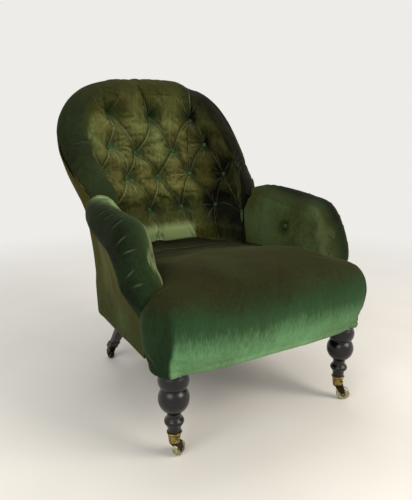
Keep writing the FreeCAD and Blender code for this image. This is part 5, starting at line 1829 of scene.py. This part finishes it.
@dataclass
class SweptLeg:
    """A rear leg: square, tapered and swept back to its castor."""

    side: Side
    top_x: float = 180 * MM
    top_y: float = 106.5 * MM
    foot_x: float = 198 * MM
    foot_y: float = 199.5 * MM
    top: float = 208 * MM
    foot: float = 46 * MM
    top_size: float = 36 * MM
    foot_size: float = 22 * MM

    def build(self) -> bpy.types.Object:
        """Makes the leg with softened edges."""
        rows = []
        for height in np.linspace(self.top, self.foot, 40):
            fall = (self.top - height) / (self.top - self.foot)
            x = self.top_x + (self.foot_x - self.top_x) * fall
            y = self.top_y + (self.foot_y - self.top_y) * fall ** 1.7
            half = (self.top_size + (self.foot_size - self.top_size) * fall) / 2
            angles = np.linspace(0, 2 * math.pi, 48, endpoint=False) + math.pi / 48
            across, along = superellipse(angles, 9)
            rows.append(np.column_stack([x + half * across, y + half * along, np.full(48, height)]))
        grid = np.stack(rows)
        caps = [np.repeat(row.mean(0)[None], 48, 0) for row in (grid[0], grid[-1])]
        grid = np.concatenate([caps[0][None], grid, caps[1][None]])
        grid[..., 0] *= self.side.value
        faces = grid_faces(len(grid), 48, closed=True)
        piece = make_object("rear_leg_swept_" + self.side.name.lower(), grid.reshape(-1, 3), faces)
        welded(piece, 0.01 * MM)
        return piece


@dataclass
class BrassCastor:
    """A castor's wheel and, on the front legs, its round cup.

    The cup's line is given as radii and heights in millimetres.
    """

    name: str
    x: float
    y: float
    degrees: float
    trail: float = 15 * MM
    wheel_radius: float = 16.5 * MM
    half_width: float = 6.5 * MM
    cup_line: tuple[tuple[float, float], ...] = (
        (0.0, 42), (8, 42), (11.0, 42), (11.8, 42.4), (12.1, 43.4), (13.0, 53), (14.6, 62.5),
        (15.8, 63.2), (16.2, 64.6), (15.9, 65.8), (14.2, 66.0), (13.6, 65.9), (13.2, 65.0))

    def wheel(self) -> bpy.types.Object:
        """Makes the wheel: a rounded tread, a dished face and a hub."""
        angle = math.radians(self.degrees)
        centre = np.array([self.x + self.trail * math.cos(angle), self.y + self.trail * math.sin(angle),
                           self.wheel_radius])
        axis = np.array([-math.sin(angle), math.cos(angle), 0.0])
        r, w = self.wheel_radius, self.half_width
        half = [(2.6 * MM, w), (5.2 * MM, w), (5.8 * MM, w - 0.9 * MM), (10.5 * MM, w - 1.4 * MM),
                (12.2 * MM, w - 0.4 * MM), (14.2 * MM, w), (15.4 * MM, w - 0.5 * MM),
                (16.2 * MM, w - 1.6 * MM), (r, w - 3.0 * MM)]
        line = half + [(radius, -along) for radius, along in reversed(half)] + [half[0]]
        return lathed("castor_wheel_turned_" + self.name, np.array(line)[::-1], centre, axis, 56)

    def round_cup(self) -> bpy.types.Object:
        """Makes the cup of a front castor, with its rolled lip."""
        line = arc_line([(radius * MM, height * MM) for radius, height in self.cup_line], 5)
        return lathed("castor_cup_turned_" + self.name, line, np.array([self.x, self.y, 0.0]),
                      np.array([0, 0, 1.0]), 56)


# ---------------------------------------------------------------- stage


@dataclass(frozen=True)
class PhotoCamera:
    """The camera, solved from the photograph."""

    place: tuple[float, float, float] = (-0.611, -1.0875, 0.668)
    azimuth: float = -30.0
    pitch: float = 13.75
    focal_pixels: float = 470.0
    long_side: int = 500

    def make(self) -> None:
        """Makes the camera and sets it as the scene's."""
        a, p = math.radians(self.azimuth), math.radians(self.pitch)
        forward = Vector((-math.sin(a) * math.cos(p), math.cos(a) * math.cos(p), -math.sin(p)))
        right = Vector((math.cos(a), math.sin(a), 0))
        up = right.cross(forward)
        data = bpy.data.cameras.new("camera")
        data.sensor_width = 36
        data.lens = self.focal_pixels / self.long_side * 36
        camera = bpy.data.objects.new("camera", data)
        matrix = Matrix((right, up, -forward)).transposed().to_4x4()
        matrix.translation = Vector(self.place)
        camera.matrix_world = matrix
        bpy.context.scene.collection.objects.link(camera)
        bpy.context.scene.camera = camera


@dataclass(frozen=True)
class Studio:
    """A pale floor, a pale surround for the camera, and soft lamps."""

    floor_colour: str = "efece7"
    surround: str = "eeece8"
    sky_colour: str = "e9e7e2"
    sky_strength: float = 0.42
    floor_size: float = 30.0

    def make(self) -> None:
        """Makes the floor, the world and the lamps."""
        self.floor()
        world = bpy.data.worlds.new("surround")
        world.use_nodes = True
        bpy.context.scene.world = world
        nodes = world.node_tree
        nodes.nodes.clear()
        lit = add_node(nodes, "ShaderNodeBackground",
                       {"Color": linear(self.sky_colour), "Strength": self.sky_strength})
        seen = add_node(nodes, "ShaderNodeBackground", {"Color": linear(self.surround), "Strength": 1.0})
        mix = add_node(nodes, "ShaderNodeMixShader",
                       links={0: (self.shown(nodes), 0), 1: (lit, 0), 2: (seen, 0)})
        add_node(nodes, "ShaderNodeOutputWorld", links={0: (mix, 0)})
        self.lamp("window", (1.5, -2.3, 1.9), 1.5, 62, "fff6ea")
        self.lamp("sky", (-2.2, -1.4, 2.1), 1.8, 44, "f4f4f0")
        self.lamp("top", (0.2, 0.6, 2.8), 1.8, 26, "ffffff")

    def shown(self, tree: bpy.types.NodeTree) -> bpy.types.Node:
        """A node that is one for camera, mirror and glass rays, and zero for rays that light the chair."""
        rays = add_node(tree, "ShaderNodeLightPath")
        both = maths(tree, "MAXIMUM", {0: (rays, "Is Camera Ray"), 1: (rays, "Is Transmission Ray")})
        return maths(tree, "MAXIMUM", {0: (both, 0), 1: (rays, "Is Glossy Ray")})

    def floor(self) -> None:
        """Makes a pale floor that keeps the chair's shadow and runs out into the surround's colour."""
        size = self.floor_size
        corners = np.array([(-size, -size, 0), (size, -size, 0), (size, size, 0), (-size, size, 0)])
        floor = make_object("floor", corners, np.array([[0, 1, 2, 3]]), smooth=False)
        material, tree, shader = new_material("painted_floor")
        place = add_node(tree, "ShaderNodeTexCoord")
        speck = add_node(tree, "ShaderNodeTexNoise", {"Scale": 3.0, "Detail": 2.0},
                         {"Vector": (place, "Object")})
        colour = ramp(tree, (speck, 0), [(0.3, "e9e6e0"), (0.7, self.floor_colour)])
        tree.links.new(colour.outputs[0], shader.inputs["Base Color"])
        shader.inputs["Roughness"].default_value = 0.85
        shader.inputs["Specular IOR Level"].default_value = 0.1
        away = add_node(tree, "ShaderNodeVectorMath", {"operation": "LENGTH"}, {0: (place, "Object")})
        far = add_node(tree, "ShaderNodeMapRange", {"interpolation_type": "SMOOTHSTEP", 1: 0.55, 2: 2.3},
                       {0: (away, 1)})
        seen = maths(tree, "MULTIPLY", {0: (far, 0), 1: (self.shown(tree), 0)})
        glow = add_node(tree, "ShaderNodeEmission", {"Color": linear(self.surround), "Strength": 1.0})
        mix = add_node(tree, "ShaderNodeMixShader", links={0: (seen, 0), 1: (shader, 0), 2: (glow, 0)})
        output = next(node for node in tree.nodes if node.type == "OUTPUT_MATERIAL")
        tree.links.new(mix.outputs[0], output.inputs[0])
        floor.data.materials.append(material)

    def lamp(self, name: str, place: tuple[float, float, float], size: float, power: float,
             colour: str) -> None:
        """Makes one soft square lamp that faces the chair.

        Args:
            name: the lamp's name.
            place: where it hangs.
            size: its side in metres.
            power: watts.
            colour: its hex colour.
        """
        data = bpy.data.lights.new(name, "AREA")
        data.size, data.energy, data.color = size, power, linear(colour)[:3]
        lamp = bpy.data.objects.new(name, data)
        lamp.location = place
        lamp.rotation_euler = (Vector((0, 0, 0.4)) - Vector(place)).to_track_quat("-Z", "Y").to_euler()
        bpy.context.scene.collection.objects.link(lamp)


# ---------------------------------------------------------------- putting it together


@dataclass
class Armchair:
    """The whole chair, dressed piece by piece."""

    castors: tuple[tuple[str, float, float, float], ...] = (
        ("front_left", -0.235, -0.3035, 28), ("front_right", 0.235, -0.3035, -37),
        ("rear_left", -0.198, 0.1995, 95), ("rear_right", 0.198, 0.1995, 78))
    arm_button_x: float = 0.2255

    def dress_upholstery(self) -> None:
        """Builds the velvet pieces."""
        velvet = CottonVelvet().make()
        side_velvet = CottonVelvet(brush_mm=34.0).make("cotton_velvet_outside", (1, 1, 0.2))
        seat_velvet = CottonVelvet(fleck_mm=2.8).make("cotton_velvet_seat", (1, 0.6, 0.18))
        back = ButtonedBack()
        piece = back.build()
        dressed(piece, velvet)
        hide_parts("inside_back_pad")
        arms = [PaddedArm(side) for side in Side]
        for arm in arms:
            piece = arm.build()
            dressed(piece, velvet)
            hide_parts(arm.side.name.lower() + "_arm_pad")
        cover = OutsideCover().build(arms[1])
        dressed(cover, side_velvet)
        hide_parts("outside_back_panel", "right_outside_arm_panel", "left_outside_arm_panel")
        for piece in StuffedSeat().build():
            dressed(piece, seat_velvet)
            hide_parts("seat_front_roll", "seat_stuffing")
        self.dress_buttons(back, arms, velvet)

    def dress_buttons(self, back: ButtonedBack, arms: list[PaddedArm], velvet: bpy.types.Material) -> None:
        """Builds the buttons of the back and of the arms.

        Args:
            back: the buttoned back, which says where each button is pulled to.
            arms: the arms, which say how high and how far forward their buttons sit.
            velvet: their cover.
        """
        buttons = CoveredButtons()
        _, beds, facings = back.beds()
        piece = buttons.group("back_button_covers",
                              [(bed + way * 0.5 * MM, way) for bed, way in zip(beds, facings)])
        dressed(piece, velvet)
        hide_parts("back_buttons")
        arm_spots = [(arm.button() * (0, 1, 1) + (arm.side.value * self.arm_button_x, 0, 0),
                      np.array([-arm.side.value, 0.0, 0.0])) for arm in arms]
        piece = buttons.group("arm_button_covers", arm_spots)
        dressed(piece, velvet)
        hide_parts("arm_buttons")

    def dress_legs(self) -> None:
        """Builds the legs, the castors' cups and the wheels."""
        black, red, brass = EBONISED_BEECH.make(), WAXED_MAHOGANY.make(), AGED_BRASS.make()
        # pale: the front wheels' brass, paler in part as a painted highlight.
        steel, dark, pale = DULL_STEEL.make(), BLACKENED_BRASS.make(), RUBBED_HIGHLIT_BRASS.make()
        for side in Side:
            name = side.name.lower()
            leg = TurnedLeg(side).build()
            dressed(leg, black)
            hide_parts(name + "_front_leg")
            leg = SweptLeg(side).build()
            dressed(leg, red)
            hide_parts(name + "_rear_leg")
        for name, x, y, degrees in self.castors:
            castor = BrassCastor(name, x, y, degrees)
            wheel = castor.wheel()
            dressed(wheel, pale if name.startswith("front") else dark, "wheel_" + name)
            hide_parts("castor_wheel_" + name)
            if name.startswith("front"):
                cup = castor.round_cup()
                dressed(cup, brass)
                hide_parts("castor_cup_" + name)
        nodes = {o.name: o for o in bpy.data.objects}
        for name, obj in nodes.items():
            if name.startswith(("castor_cup_rear", "castor_horn")):
                self.finish_node(obj, dark)
            elif name.startswith(("castor_axle", "castor_cup_screws")):
                self.finish_node(obj, steel)

    def dress_frame(self) -> None:
        """Gives the hidden frame, springs and cloths their materials."""
        beech, hessian, webbing = SAWN_BEECH.make(), HESSIAN.make(), WEBBING.make()
        lining, wire = LINING.make(), SPRING_STEEL.make()
        for name, obj in frame["nodes"].items():
            if name.endswith(("_rail", "_post", "_blocks")):
                self.finish_node(obj, beech)
            elif name.endswith("_canvas"):
                self.finish_node(obj, hessian)
            elif name == "seat_webbing":
                self.finish_node(obj, webbing)
            elif name == "bottom_lining":
                self.finish_node(obj, lining)
            elif name == "seat_springs":
                self.finish_node(obj, wire)

    def finish_node(self, obj: bpy.types.Object, material: bpy.types.Material) -> None:
        """Gives a carried-over node a material."""
        if obj.type != "MESH":
            return
        for holder in obj.material_slots:
            holder.material = material
        if not obj.material_slots:
            obj.data.materials.append(material)
        log.info("node %s: %s", obj.name, material.name)


def main() -> None:
    """Builds the stage and the chair in order."""
    scene = bpy.context.scene
    scene.view_settings.view_transform = "Standard"
    PhotoCamera().make()
    Studio().make()
    chair = Armchair()
    chair.dress_upholstery()
    chair.dress_legs()
    chair.dress_frame()


if __name__ == "__main__":
    main()
